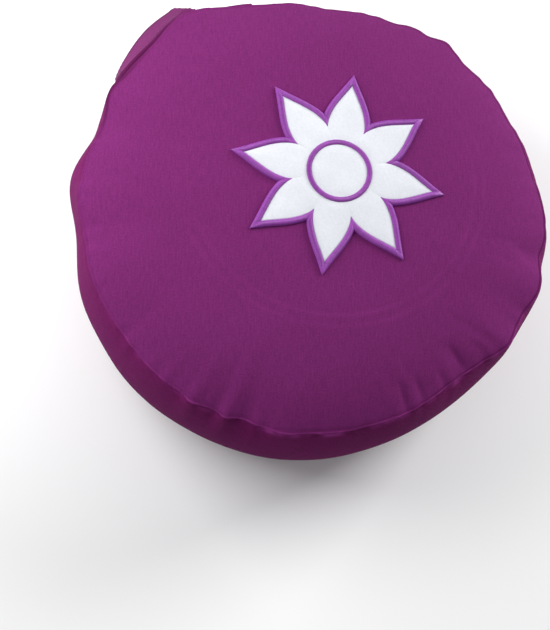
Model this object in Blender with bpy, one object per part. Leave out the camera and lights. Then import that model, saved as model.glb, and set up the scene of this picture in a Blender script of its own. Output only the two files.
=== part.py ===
"""A round meditation cushion, lying on its back.

A filled cotton cushion (face, side band and bottom panel), a carry handle whose two ends are sewn
to the band, and an eight-petalled rosette applied to the face with satin-stitch edging.

Metres, +Z up. The origin is the middle of the flat underside, and +Y points at the handle.
Angles run anticlockwise from +X, seen from above. A radius is measured from the Z axis.
"""

import math
from collections import namedtuple

import bmesh
import bpy

MM = 0.001
TURN = 2.0 * math.pi
CLEARANCE = 0.0004            # between two pieces that lie against each other

# Cushion
SEAM_RADIUS = 0.1646          # mean radius of the seam round the face
BAND_HEIGHT = 0.088           # between the face's seam and the bottom panel's seam
BASE_RISE = 0.014             # bottom panel's seam above the floor
CROWN = 0.024                 # middle of the face above its seam
BAND_BULGE = 0.0105           # band's fullest part beyond its seams
BULGE_FULLNESS = 0.85         # power of its even curve: less is fuller
UNDER_CURVE = 1.6             # power of the underside's rise from the floor to its seam
REST_SHARE = 0.77             # flat resting area's radius as a share of the lower seam's
FACE_SEAM_Z = BASE_RISE + BAND_HEIGHT

# Plan shape: a circle drawn out a little two ways and three ways
OVAL = 0.0033
OVAL_AXIS = math.radians(-32.0)
CORNER = 0.0023
CORNER_AXIS = math.radians(-31.0)

# Share of the crown that is a plain dome; the rest rolls over near the seam
DOME_SHARE = 0.55
ROLL_POWER = 6

# Seam: a fine raised ridge with a groove on each side
RIDGE = 0.0005
GROOVE = 0.0005
GROOVE_WIDTH = 0.0018

# How far a pucker of the seam carries: a power of the face's radius, and a length down the band
PUCKER_POWER = 7
PUCKER_REACH = 0.017
LOWER_WAVES = 19              # gathers of the hidden lower seam, all round
LOWER_SWINGS = 5              # stretches of it that gather more
LOWER_WAVE_HEIGHT = 0.0007

# Gathers of the face's seam: where, how far out, how wide, how far up
Pucker = namedtuple("Pucker", "at_deg out_mm width_deg lift_mm")
PUCKERS = (
    Pucker(3, -0.2, 3.0, 0.5),
    Pucker(18, 6.1, 5.0, 1.2),
    Pucker(27, 3.4, 3.5, 0.6),
    Pucker(51, -3.1, 8.0, -1.0),
    Pucker(67, -1.7, 5.0, 0.4),
    Pucker(88, 8.6, 9.0, 0.6),
    Pucker(116, 3.6, 4.0, 0.6),
    Pucker(126, -4.2, 6.5, -0.8),
    Pucker(145, 2.3, 5.0, 0.9),
    Pucker(155, -0.9, 4.0, -0.7),
    Pucker(165, 0.8, 5.0, 0.6),
    Pucker(180, -0.9, 4.0, -0.8),
    Pucker(194, 0.5, 5.0, 0.5),
    Pucker(209, -0.9, 2.5, -1.4),
    Pucker(212, 2.0, 2.5, 1.3),
    Pucker(216, -2.2, 3.0, -1.5),
    Pucker(227, 2.3, 4.5, 0.9),
    Pucker(239, 0.7, 7.0, -0.6),
    Pucker(273, -4.0, 11.0, -0.4),
    Pucker(289, 4.3, 4.5, 0.8),
    Pucker(305, 3.7, 4.5, 0.9),
    Pucker(314, -2.7, 2.8, -0.9),
    Pucker(338, -5.1, 10.0, -0.5),
    Pucker(352, -3.3, 6.0, -0.7),
)

# Where the band is fuller or flatter than its even bulge
Swell = namedtuple("Swell", "at_deg out_mm width_deg")
SWELLS = (
    Swell(84, -3.2, 14.0),
    Swell(120, -5.0, 10.0),
    Swell(127, -3.5, 5.0),
    Swell(137, 1.7, 5.0),
    Swell(150, -5.6, 10.0),
    Swell(172, -1.3, 14.0),
    Swell(232, 2.0, 16.0),
    Swell(284, -2.2, 20.0),
    Swell(330, -1.7, 25.0),
)

# Soft creases that run across the face into the seam
CREASE_FADE = 0.7             # power of a crease's fade towards its ends
Crease = namedtuple("Crease", "at_deg width_deg depth_mm from_share")
CREASES = (
    Crease(50, 3.0, 0.8, 0.82),
    Crease(125, 3.0, 0.8, 0.84),
    Crease(216, 2.4, 0.9, 0.88),
    Crease(257.5, 2.2, 0.9, 0.86),
    Crease(263, 2.2, 1.0, 0.86),
    Crease(276, 2.4, 1.3, 0.82),
    Crease(312, 2.6, 1.2, 0.86),
    Crease(343, 3.2, 0.9, 0.84),
)

# Mesh of the cushion: rings by share of the seam's radius, or of the band's height
FINE_COUNT = 180
COARSE_COUNT = 60
FACE_COARSE = (0.20, 0.38, 0.55, 0.70)
FACE_FINE = (0.79, 0.865, 0.92, 0.96)
BAND_ROWS = (0.06, 0.16, 0.29, 0.43, 0.57, 0.71, 0.84, 0.94)
UNDER_ROWS = (0.97, 0.91, 0.84)

# Carry handle: a flat folded strap, sewn down at both ends and bowed off the band between
STRAP_AT = math.radians(90.0)
STRAP_HALF_SPAN = math.radians(19.9)
STRAP_WIDTH = 0.031
STRAP_THICKNESS = 0.0030
STRAP_EDGE_ROUND = 0.0009
STRAP_DROP_END = 0.0119       # its upper edge below the seam, at the sewn ends
STRAP_DROP_MIDDLE = 0.0086    # and at its middle
STRAP_STANDOFF = 0.0017       # its upper edge out from the seam, at its middle
STRAP_LEAN = math.radians(32.5)
STRAP_FREE_SHARE = 0.940      # share of the half span that isn't sewn down
STRAP_FULLNESS = 0.45         # power of its even bow: less is fuller
STRAP_STATIONS = 33
STRAP_ACROSS = 5

# Rosette applied to the face
ROSETTE_X = 0.0204
ROSETTE_Y = 0.0079
ROSETTE_TURN = math.radians(90.0)
PETALS = 8
PETAL_TIP = 0.0682            # cloth's radius at a petal's tip
PETAL_NOTCH = 0.0345          # cloth's radius between two petals
PETAL_TIP_ANGLE = math.radians(27.0)      # between a petal's axis and its edge, at the tip
PETAL_FOOT_ANGLE = math.radians(6.0)      # and at the notch, leaning the other way
PETAL_TIP_PULL = 0.014        # how long the edge keeps each of those directions
PETAL_FOOT_PULL = 0.013
PETAL_OVERRUN = 0.014         # straight stretch past the tip, for the edging's longer point
PETAL_CURVE_STEPS = 40
PETAL_EDGE_STEPS = 7
CLOTH_THICKNESS = 0.0012
CLOTH_RINGS = (0.25, 0.5, 0.75, 1.0)
EDGING_WIDTH = 0.0036
EDGING_HEIGHT = 0.0019
RING_RADIUS = 0.0215
RING_WIDTH = 0.0036
RING_HEIGHT = 0.0010
RING_COUNT = 48

# Finishes, as sRGB colours
Finish = namedtuple("Finish", "red green blue roughness")
PURPLE_COTTON = Finish(0.51, 0.19, 0.46, 0.90)
STRAP_COTTON = Finish(0.55, 0.23, 0.49, 0.90)
WHITE_COTTON = Finish(0.91, 0.92, 0.94, 0.85)
VIOLET_THREAD = Finish(0.64, 0.32, 0.74, 0.50)


def bell(offset, width):
    """A smooth bump, 1 at offset 0 and nearly 0 at twice the width."""
    return math.exp(-((offset / width) ** 2))


def degrees_from(angle, at_deg):
    """Signed difference in degrees, from -180 to 180."""
    return (math.degrees(angle) - at_deg + 180.0) % 360.0 - 180.0


def plan_radius(angle):
    """Seam's radius without its puckers."""
    oval = OVAL * math.cos(2.0 * (angle - OVAL_AXIS))
    corner = CORNER * math.cos(3.0 * (angle - CORNER_AXIS))
    return SEAM_RADIUS + oval + corner


def bumps(table, column, angle):
    """Sum at an angle of a table's bumps, from a column in millimetres, in metres."""
    return sum(
        getattr(row, column) * MM * bell(degrees_from(angle, row.at_deg), row.width_deg)
        for row in table)


def pucker_out(angle):
    """How far the puckers push the face's seam out."""
    return bumps(PUCKERS, "out_mm", angle)


def pucker_lift(angle):
    """How far the puckers lift the face's seam."""
    return bumps(PUCKERS, "lift_mm", angle)


def seam_radius(angle):
    return plan_radius(angle) + pucker_out(angle)


def seam_height(angle):
    return FACE_SEAM_Z + pucker_lift(angle)


def lower_wave(angle):
    """Gathers of the lower seam."""
    swing = math.cos(LOWER_SWINGS * angle + 1.0)
    return LOWER_WAVE_HEIGHT * swing * math.sin(LOWER_WAVES * angle)


def face_radius(angle, share):
    """Radius on the face at a share of the way from its middle to the seam."""
    return share * (plan_radius(angle) + pucker_out(angle) * share ** PUCKER_POWER)


def face_share(angle, radius):
    """Inverse of face_radius, for points well inside the seam."""
    share = radius / plan_radius(angle)
    for _ in range(4):
        share = radius / (plan_radius(angle) + pucker_out(angle) * share ** PUCKER_POWER)
    return share


def crease_depth(angle, share):
    """Depth of the creases, fading in from their inner end and out at the seam."""
    depth = 0.0
    for crease in CREASES:
        along = (share - crease.from_share) / (1.0 - crease.from_share)
        if 0.0 < along < 1.0:
            fade = math.sin(math.pi * along) ** CREASE_FADE
            depth += fade * bumps((crease,), "depth_mm", angle)
    return depth


def crown_height(angle, share):
    """Height of the face at a share of the way from its middle to the seam."""
    dome = 1.0 - share ** 2
    roll = 1.0 - share ** ROLL_POWER
    crown = CROWN * (DOME_SHARE * dome + (1.0 - DOME_SHARE) * roll)
    return FACE_SEAM_Z + crown + pucker_lift(angle) * share ** PUCKER_POWER - crease_depth(angle, share)


def face_height(x, y):
    """Height of the face above the point (x, y)."""
    angle = math.atan2(y, x)
    return crown_height(angle, face_share(angle, math.hypot(x, y)))


def band_bulge(angle):
    """How far the band's fullest part stands beyond its seams."""
    return BAND_BULGE + bumps(SWELLS, "out_mm", angle)


def band_radius(angle, drop):
    """Radius of the band at a drop below the face's seam."""
    share = min(max(drop / BAND_HEIGHT, 0.0), 1.0)
    upper = pucker_out(angle) * math.exp(-drop / PUCKER_REACH)
    lower = lower_wave(angle) * math.exp(-(BAND_HEIGHT - drop) / PUCKER_REACH)
    bulge = band_bulge(angle) * math.sin(math.pi * share) ** BULGE_FULLNESS
    return plan_radius(angle) + upper + lower + bulge


def band_height(angle, drop):
    """Height of the band at a drop below the face's seam."""
    share = 1.0 - drop / BAND_HEIGHT
    return BASE_RISE + BAND_HEIGHT * share + pucker_lift(angle) * share


def on_circle(angle, radius, height):
    return (radius * math.cos(angle), radius * math.sin(angle), height)


def ring(count, radius, height):
    """Points round the Z axis; radius and height are functions of the angle."""
    angles = [TURN * i / count for i in range(count)]
    return [on_circle(a, radius(a), height(a)) for a in angles]


def cushion_rings():
    """Rings of the cushion, from the middle of its face down to its flat underside."""
    rings = [[(0.0, 0.0, crown_height(0.0, 0.0))]]
    for share in FACE_COARSE:
        rings.append(ring(COARSE_COUNT, lambda a: face_radius(a, share), lambda a: crown_height(a, share)))
    for share in FACE_FINE:
        rings.append(ring(FINE_COUNT, lambda a: face_radius(a, share), lambda a: crown_height(a, share)))
    rings.append(ring(
        FINE_COUNT,
        lambda a: seam_radius(a) - GROOVE_WIDTH,
        lambda a: crown_height(a, 1.0 - GROOVE_WIDTH / SEAM_RADIUS) - GROOVE))
    rings.append(ring(
        FINE_COUNT,
        lambda a: seam_radius(a) + RIDGE,
        lambda a: seam_height(a) + RIDGE))
    rings.append(ring(
        FINE_COUNT,
        lambda a: band_radius(a, GROOVE_WIDTH) - GROOVE,
        lambda a: band_height(a, GROOVE_WIDTH)))
    for row in BAND_ROWS:
        drop = row * BAND_HEIGHT
        rings.append(ring(FINE_COUNT, lambda a: band_radius(a, drop), lambda a: band_height(a, drop)))
    rings.append(ring(
        FINE_COUNT,
        lambda a: band_radius(a, BAND_HEIGHT - GROOVE_WIDTH) - GROOVE,
        lambda a: BASE_RISE + GROOVE_WIDTH))
    rings.append(ring(
        FINE_COUNT,
        lambda a: plan_radius(a) + lower_wave(a) + RIDGE,
        lambda a: BASE_RISE))
    for row in UNDER_ROWS:
        sag = ((row - REST_SHARE) / (1.0 - REST_SHARE)) ** UNDER_CURVE
        rings.append(ring(FINE_COUNT, lambda a: row * plan_radius(a), lambda a: BASE_RISE * sag))
    rings.append(ring(FINE_COUNT, lambda a: REST_SHARE * plan_radius(a), lambda a: 0.0))
    return rings


def join_rings(mesh, upper, lower):
    """Faces between two rings of points; the finer has a whole number of points per coarse one."""
    if len(upper) > len(lower):
        upper, lower = lower, upper
    ratio = len(lower) // len(upper)
    for i, near in enumerate(upper):
        following = upper[(i + 1) % len(upper)]
        for step in range(ratio):
            first = lower[(i * ratio + step) % len(lower)]
            second = lower[(i * ratio + step + 1) % len(lower)]
            if len(upper) > 1 and step == ratio // 2:
                if ratio == 1:
                    mesh.faces.new((near, first, second, following))
                else:
                    mesh.faces.new((near, first, following))
                    mesh.faces.new((following, first, second))
            else:
                owner = near if step < ratio // 2 or len(upper) == 1 else following
                mesh.faces.new((owner, first, second))


def skin_rings(rings):
    """A closed mesh over a list of rings; an end ring of one point is a pole, or else it is filled."""
    mesh = bmesh.new()
    loops = [[mesh.verts.new(point) for point in points] for points in rings]
    for upper, lower in zip(loops, loops[1:]):
        join_rings(mesh, upper, lower)
    for loop in (loops[0], loops[-1]):
        if len(loop) > 1:
            mesh.faces.new(loop)
    return mesh


def skin_tube(sections, closed):
    """A closed mesh over equal sections, joined end to end, or capped at both ends."""
    mesh = bmesh.new()
    loops = [[mesh.verts.new(point) for point in points] for points in sections]
    following = loops[1:] + loops[:1] if closed else loops[1:]
    for here, there in zip(loops, following):
        for i in range(len(here)):
            j = (i + 1) % len(here)
            mesh.faces.new((here[i], here[j], there[j], there[i]))
    if not closed:
        mesh.faces.new(loops[0])
        mesh.faces.new(loops[-1])
    return mesh


def strap_bow(along):
    """How far the strap has left the band, 0 at its sewn ends and 1 at its middle."""
    share = min(abs(along) / STRAP_FREE_SHARE, 1.0)
    return max(math.cos(0.5 * math.pi * share), 0.0) ** STRAP_FULLNESS


def outside_band(angle, point):
    """The (radius, height) point, moved out if need be to lie just clear of the band."""
    share = (point[1] - BASE_RISE) / (BAND_HEIGHT + pucker_lift(angle))
    nearest = band_radius(angle, (1.0 - share) * BAND_HEIGHT) + CLEARANCE
    return (max(point[0], nearest), point[1])


def strap_inner_line(angle, bow):
    """(radius, height) points across the strap's inner side, from its upper edge down."""
    points = []
    for i in range(STRAP_ACROSS):
        down = STRAP_WIDTH * i / (STRAP_ACROSS - 1)
        drop = STRAP_DROP_END + down
        sewn = (band_radius(angle, drop) + CLEARANCE, band_height(angle, drop))
        leaning = (
            seam_radius(angle) + STRAP_STANDOFF + down * math.sin(STRAP_LEAN),
            seam_height(angle) - STRAP_DROP_MIDDLE - down * math.cos(STRAP_LEAN))
        bowed = tuple((1.0 - bow) * s + bow * f for s, f in zip(sewn, leaning))
        points.append(outside_band(angle, bowed))
    return points


def move_left(line, distance):
    """The line of points moved square to itself, to the left of the way it runs."""
    moved = []
    for i, point in enumerate(line):
        before = line[max(i - 1, 0)]
        after = line[min(i + 1, len(line) - 1)]
        step = distance / math.dist(before, after)
        moved.append((
            point[0] - step * (after[1] - before[1]),
            point[1] + step * (after[0] - before[0])))
    return moved


def rounded_end(line, end):
    """A point just past an end of the line, for the strap's rounded long edge."""
    tip, inner = (line[0], line[1]) if end == "upper" else (line[-1], line[-2])
    length = math.dist(tip, inner)
    return tuple(t + STRAP_EDGE_ROUND * (t - i) / length for t, i in zip(tip, inner))


def strap_sections():
    sections = []
    for station in range(STRAP_STATIONS):
        along = 2.0 * station / (STRAP_STATIONS - 1) - 1.0
        angle = STRAP_AT + STRAP_HALF_SPAN * along
        inner = strap_inner_line(angle, strap_bow(along))
        middle = move_left(inner, 0.5 * STRAP_THICKNESS)
        outer = move_left(inner, STRAP_THICKNESS)
        outline = inner + [rounded_end(middle, "lower")] + outer[::-1] + [rounded_end(middle, "upper")]
        sections.append([on_circle(angle, radius, height) for radius, height in outline])
    return sections


def petal_curve():
    """Half of a petal's edge, beside +X: from past its tip, along a cubic curve, to the notch."""
    notch = math.pi / PETALS
    tip_cos, tip_sin = math.cos(PETAL_TIP_ANGLE), math.sin(PETAL_TIP_ANGLE)
    foot_cos, foot_sin = math.cos(PETAL_FOOT_ANGLE), math.sin(PETAL_FOOT_ANGLE)
    start = (PETAL_TIP, 0.0)
    end = (PETAL_NOTCH * math.cos(notch), PETAL_NOTCH * math.sin(notch))
    first = (start[0] - PETAL_TIP_PULL * tip_cos, PETAL_TIP_PULL * tip_sin)
    second = (end[0] + PETAL_FOOT_PULL * foot_cos, end[1] + PETAL_FOOT_PULL * foot_sin)
    points = [(PETAL_TIP + PETAL_OVERRUN * tip_cos, -PETAL_OVERRUN * tip_sin)]
    for step in range(PETAL_CURVE_STEPS + 1):
        t = step / PETAL_CURVE_STEPS
        weights = ((1.0 - t) ** 3, 3.0 * t * (1.0 - t) ** 2, 3.0 * t * t * (1.0 - t), t ** 3)
        points.append(tuple(
            sum(w * p[axis] for w, p in zip(weights, (start, first, second, end))) for axis in (0, 1)))
    return points


def keep_side(points, side):
    """The stretch of a line where side(point) isn't negative, ending where it crosses zero."""
    kept = []
    for here, there in zip(points, points[1:]):
        a, b = side(here), side(there)
        if a >= 0.0:
            kept.append(here)
        if a * b < 0.0:
            kept.append(tuple(h + (t - h) * a / (a - b) for h, t in zip(here, there)))
    if side(points[-1]) >= 0.0:
        kept.append(points[-1])
    return kept


def evenly(points, count):
    """count + 1 points at even steps of length along a line."""
    lengths = [0.0]
    for here, there in zip(points, points[1:]):
        lengths.append(lengths[-1] + math.dist(here, there))
    spaced = []
    leg = 0
    for step in range(count + 1):
        target = lengths[-1] * step / count
        while leg < len(points) - 2 and lengths[leg + 1] < target:
            leg += 1
        share = (target - lengths[leg]) / (lengths[leg + 1] - lengths[leg])
        spaced.append(tuple(h + (t - h) * share for h, t in zip(points[leg], points[leg + 1])))
    return spaced


def rosette_outline(offset):
    """Points round the rosette, moved out from the cloth's edge, about the rosette's own middle."""
    notch = math.pi / PETALS
    moved = move_left(petal_curve(), -offset)
    moved = keep_side(moved, lambda p: p[1])
    moved = keep_side(moved, lambda p: p[0] * math.sin(notch) - p[1] * math.cos(notch))
    half = evenly(moved, PETAL_EDGE_STEPS)
    petal = [(x, -y) for x, y in half[:0:-1]] + half[:-1]
    points = []
    for number in range(PETALS):
        turn = ROSETTE_TURN + TURN * number / PETALS
        for x, y in petal:
            points.append((
                x * math.cos(turn) - y * math.sin(turn),
                x * math.sin(turn) + y * math.cos(turn)))
    return points


def on_face(point, lift):
    """A point of the rosette's plane, laid on the crowned face and lifted off it."""
    x = ROSETTE_X + point[0]
    y = ROSETTE_Y + point[1]
    return (x, y, face_height(x, y) + lift)


def cloth_rings():
    outline = rosette_outline(0.0)
    upper = CLEARANCE + CLOTH_THICKNESS
    top = [[on_face((x * s, y * s), upper) for x, y in outline] for s in CLOTH_RINGS]
    under = [[on_face((x * s, y * s), CLEARANCE) for x, y in outline] for s in CLOTH_RINGS]
    return [[on_face((0.0, 0.0), upper)]] + top + under[::-1] + [[on_face((0.0, 0.0), CLEARANCE)]]


# Section of a line of satin stitch: share of its width and of its height
STITCH_SECTION = ((0.0, 0.0), (0.0, 0.72), (0.5, 1.0), (1.0, 0.72), (1.0, 0.0))


def edging_sections():
    columns = []
    for across, up in STITCH_SECTION:
        outline = rosette_outline(CLEARANCE + EDGING_WIDTH * across)
        columns.append([on_face(point, CLEARANCE + EDGING_HEIGHT * up) for point in outline])
    return list(zip(*columns))


def inner_ring_sections():
    base = 2.0 * CLEARANCE + CLOTH_THICKNESS
    sections = []
    for number in range(RING_COUNT):
        angle = TURN * number / RING_COUNT
        section = []
        for across, up in STITCH_SECTION:
            radius = RING_RADIUS + RING_WIDTH * (across - 0.5)
            point = (radius * math.cos(angle), radius * math.sin(angle))
            section.append(on_face(point, base + RING_HEIGHT * up))
        sections.append(section)
    return sections


def linear(value):
    """An sRGB value as a linear one."""
    return value / 12.92 if value <= 0.04045 else ((value + 0.055) / 1.055) ** 2.4


def make_material(name, finish):
    material = bpy.data.materials.new(name)
    material.use_nodes = True
    shader = material.node_tree.nodes["Principled BSDF"]
    colour = (linear(finish.red), linear(finish.green), linear(finish.blue), 1.0)
    shader.inputs["Base Color"].default_value = colour
    shader.inputs["Roughness"].default_value = finish.roughness
    shader.inputs["Metallic"].default_value = 0.0
    material.diffuse_color = colour
    return material


def add_object(name, mesh, finish, sharp_deg):
    """A named object from a bmesh, with its own material and smooth shading."""
    bmesh.ops.recalc_face_normals(mesh, faces=mesh.faces)
    data = bpy.data.meshes.new(name)
    mesh.to_mesh(data)
    mesh.free()
    data.shade_smooth()
    data.set_sharp_from_angle(angle=math.radians(sharp_deg))
    data.materials.append(make_material(name, finish))
    bpy.context.scene.collection.objects.link(bpy.data.objects.new(name, data))


def main():
    for existing in list(bpy.data.objects):
        bpy.data.objects.remove(existing, do_unlink=True)
    add_object("cushion", skin_rings(cushion_rings()), PURPLE_COTTON, 60.0)
    add_object("handle_strap", skin_tube(strap_sections(), closed=False), STRAP_COTTON, 50.0)
    add_object("applique_cloth", skin_rings(cloth_rings()), WHITE_COTTON, 40.0)
    add_object("applique_edging", skin_tube(edging_sections(), closed=True), VIOLET_THREAD, 50.0)
    add_object("applique_ring", skin_tube(inner_ring_sections(), closed=True), VIOLET_THREAD, 50.0)


main()
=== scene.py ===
"""Looks of a round cotton meditation cushion with an applied rosette and a carry handle.

Laid out as an add-on: property groups hold the settings, each piece has an operator, and a panel in
the sidebar lists them. Metres, +Z up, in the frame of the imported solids: the origin is the middle of
the flat underside, and +Y points at the handle. Angles run anticlockwise from +X, seen from above.
"""

import math
from collections import namedtuple

import bpy
import numpy as np
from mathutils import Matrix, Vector, noise
from mathutils.bvhtree import BVHTree


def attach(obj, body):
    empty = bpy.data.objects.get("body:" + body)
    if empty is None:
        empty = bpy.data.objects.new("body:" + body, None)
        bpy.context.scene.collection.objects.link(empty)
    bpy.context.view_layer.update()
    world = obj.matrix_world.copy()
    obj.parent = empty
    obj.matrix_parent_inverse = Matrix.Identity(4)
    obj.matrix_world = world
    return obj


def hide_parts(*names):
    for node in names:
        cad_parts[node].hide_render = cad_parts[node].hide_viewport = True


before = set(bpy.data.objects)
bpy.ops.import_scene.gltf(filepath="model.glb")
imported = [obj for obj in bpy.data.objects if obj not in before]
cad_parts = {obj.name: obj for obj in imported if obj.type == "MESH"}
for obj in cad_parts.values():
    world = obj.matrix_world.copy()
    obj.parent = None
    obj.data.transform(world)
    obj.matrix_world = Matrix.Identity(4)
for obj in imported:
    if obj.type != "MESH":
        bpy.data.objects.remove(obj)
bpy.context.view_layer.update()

bl_info = {
    "name": "Meditation Cushion",
    "version": (1, 0, 0),
    "blender": (4, 5, 0),
    "location": "View3D > Sidebar > Cushion",
    "description": "Makes a round floor cushion with an applied rosette and a carry handle",
    "category": "Object",
}

BODY = "root"
MM = 0.001
TURN = 2.0 * math.pi
ABOVE = 1.0                   # a point surely above the cushion, for finding its face
CLEARANCE = 0.0004            # between two pieces that lie against each other
TINY = 1e-12                  # keeps a division from zero


# ---------------------------------------------------------------- form of the cover

SEAM_RADIUS = 0.1646          # mean radius of the seam round the face
BAND_HEIGHT = 0.088           # between the face's seam and the bottom panel's seam
BASE_RISE = 0.014             # bottom panel's seam above the floor
CROWN = 0.024                 # middle of the face above its seam
BAND_BULGE = 0.0105           # band's fullest part beyond its seams
BULGE_FULLNESS = 0.85         # power of its even curve: less is fuller
UNDER_CURVE = 1.6             # power of the underside's rise from the floor to its seam
REST_SHARE = 0.77             # flat resting area's radius as a share of the lower seam's
FACE_SEAM_Z = BASE_RISE + BAND_HEIGHT
REST_PATH = 3.0 - REST_SHARE  # path, as in cover_ring, at which the underside meets the floor

# Plan shape: a circle drawn out a little two ways and three ways
OVAL = 0.0033
OVAL_AXIS = math.radians(-32.0)
CORNER = 0.0023
CORNER_AXIS = math.radians(-31.0)

# Share of the crown that is a plain dome; the rest rolls over near the seam
DOME_SHARE = 0.55
ROLL_POWER = 6

# How far a pucker of the seam carries: a power of the face's radius, and a length down the band
PUCKER_POWER = 7
PUCKER_REACH = 0.017
LOWER_WAVES = 19              # gathers of the hidden lower seam, all round
LOWER_SWINGS = 5              # slow swings of their height, all round
LOWER_SWING_PHASE = 1.0
LOWER_WAVE_HEIGHT = 0.0007

# Gathers of the face's seam: where, how far out, how wide, how far up
Pucker = namedtuple("Pucker", "at_deg out_mm width_deg lift_mm")
PUCKERS = (
    Pucker(3, -0.2, 3.0, 0.5),
    Pucker(18, 6.1, 5.0, 1.2),
    Pucker(27, 3.4, 3.5, 0.6),
    Pucker(51, -3.1, 8.0, -1.0),
    Pucker(67, -1.7, 5.0, 0.4),
    Pucker(88, 8.6, 9.0, 0.6),
    Pucker(116, 3.6, 4.0, 0.6),
    Pucker(126, -4.2, 6.5, -0.8),
    Pucker(145, 2.3, 5.0, 0.9),
    Pucker(155, -0.9, 4.0, -0.7),
    Pucker(165, 0.8, 5.0, 0.6),
    Pucker(180, -0.9, 4.0, -0.8),
    Pucker(194, 0.5, 5.0, 0.5),
    Pucker(203.3, 2.0, 2.4, 0.7),
    Pucker(209, -0.9, 2.5, -1.0),
    Pucker(212, 2.0, 2.5, 0.9),
    Pucker(216, -2.2, 3.0, -1.0),
    Pucker(227, 2.3, 4.5, 0.9),
    Pucker(239, 0.7, 7.0, -0.6),
    Pucker(273, -4.0, 11.0, -0.4),
    Pucker(289, 4.3, 4.5, 0.8),
    Pucker(305, 3.7, 4.5, 0.9),
    Pucker(314, -2.7, 2.8, -0.9),
    Pucker(338, -5.1, 10.0, -0.5),
    Pucker(352, -3.3, 6.0, -0.7),
)

# Where the band is fuller or flatter than its even bulge
Swell = namedtuple("Swell", "at_deg out_mm width_deg")
SWELLS = (
    Swell(84, -3.2, 14.0),
    Swell(120, -5.0, 10.0),
    Swell(127, -3.5, 5.0),
    Swell(137, 1.7, 5.0),
    Swell(150, -5.6, 10.0),
    Swell(172, -1.3, 14.0),
    Swell(232, 2.0, 16.0),
    Swell(284, -2.2, 20.0),
    Swell(330, -1.7, 25.0),
)

# Soft creases that run across the face into the seam, the broad ones first
CREASE_FADE = 0.7             # power of a crease's fade towards its ends
Crease = namedtuple("Crease", "at_deg width_deg depth_mm from_share")
CREASES = (
    Crease(50, 3.0, 0.8, 0.82),
    Crease(125, 3.0, 0.8, 0.84),
    Crease(216, 2.4, 0.2, 0.90),
    Crease(257.5, 2.2, 0.9, 0.86),
    Crease(263, 2.2, 1.0, 0.86),
    Crease(276, 2.4, 1.3, 0.82),
    Crease(312, 2.6, 1.2, 0.86),
    Crease(343, 3.2, 0.9, 0.84),
    Crease(257.7, 0.7, 0.70, 0.87),
    Crease(262.6, 0.8, 0.60, 0.87),
    Crease(269.5, 0.8, 0.30, 0.90),
    Crease(276.4, 0.9, 0.80, 0.85),
    Crease(283.0, 0.9, 0.35, 0.90),
    Crease(205.0, 0.8, 0.15, 0.93),
    Crease(222.0, 0.9, 0.12, 0.93),
    Crease(60.0, 1.0, 0.35, 0.88),
    Crease(153.0, 1.0, 0.35, 0.90),
)

# Pinches of the band just under the face's seam
PINCH_REACH = 0.011
Pinch = namedtuple("Pinch", "at_deg depth_mm width_deg")
PINCHES = (
    Pinch(186, 0.7, 1.6),
    Pinch(200, 0.9, 1.5),
    Pinch(209, 1.4, 1.3),
    Pinch(214.5, 1.2, 1.1),
    Pinch(221, 1.0, 1.5),
    Pinch(231, 0.6, 1.8),
    Pinch(247, 0.5, 2.2),
    Pinch(262, 0.6, 1.6),
    Pinch(275, 0.5, 1.8),
    Pinch(299, 0.7, 2.0),
    Pinch(322, 0.5, 2.0),
    Pinch(8, 0.6, 1.8),
    Pinch(41, 0.7, 1.6),
    Pinch(139, 0.6, 1.6),
    Pinch(160, 0.7, 1.8),
)

# Seam's section: a fine raised ridge with a shallow groove on each side
RIDGE = 0.00018
RIDGE_WIDTH = 0.0006
RIDGE_LEAST = 0.05            # share of its height that it has everywhere
RIDGE_PATCH = 0.009           # length of its higher stretches
RIDGE_CONTRAST = 1.3          # how sharply they begin
RIDGE_TOWARDS_DEG = 235.0     # where they are highest
GROOVE = 0.00022
GROOVE_AT = 0.0018
GROOVE_WIDTH = 0.0011
FOLD_AT = 0.0013              # darkest line of the painted shade in the fold beside the seam
FOLD_WIDTH = 0.0007
LIP_AT = 0.0020               # the band's lip under the seam, worn and given a painted highlight
LIP_WIDTH = 0.0020
TURNED_WIDTH = 0.0024         # cloth beside the seam that turns down out of the light, given painted shade
TURNED_AT_DEG = 115.5
TURNED_SPAN_DEG = 11.0

# Fine gathering beside the seams, and the filling's unevenness under the cloth
GATHER_REACH = 0.009
GATHER_WAVES = (61, 89, 23)   # two quick waves, and a slow one that swells the first
GATHER_PHASE = 0.7            # turn of the first
GATHER_SECOND = 0.5           # height of the second beside the first
GATHER_SWELL = 0.4            # share of the first's height that the slow one gives and takes
GATHER_HEIGHT = 0.00028
LUMP_SIZE = 0.045
LUMP_HEIGHT = 0.0007
LUMP_FADE = 0.25              # path over which the lumps end before the resting area

# The band is kept still behind the strap: half that stretch's angle, and its fade
STRAP_STILL_DEG = 23.0
STRAP_STILL_FADE_DEG = 5.0
POCKET_DEPTH = 0.040          # stretch of painted shade on the band behind the strap, down from the seam
POCKET_FADE = 0.014           # over which that shade ends

# Rows of the finished cover: the step on the face up to each share of its radius, and by the seams
FACE_STEPS = ((0.60, 0.0048), (0.90, 0.0028), (1.00, 0.0018))
SEAM_STEPS = (0.0, 0.0004, 0.0008, 0.0012, 0.0017, 0.0022, 0.0028, 0.0036, 0.0047)
BAND_STEP = 0.0021
UNDER_STEP = 0.0024
REST_STEP = 0.014
STEP_SLACK = 1e-6             # share of a step by which it may be longer
COLUMNS = 640
SIMULATED_COLUMNS = 240
SIMULATED_STEP = 0.005

# The innermost rings keep fewer columns: up to each share of the radius, one column in so many
STRIDES = ((0.06, 16), (0.12, 8), (0.24, 4), (0.48, 2), (1.0, 1))

# Simulated filling
FILL_PRESSURE = 4.0
FILL_FRAMES = 20
FILL_EASE = 0.030             # spare cloth beside the seams, as a share of its length
FILL_EASE_REACH = 0.022


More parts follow.
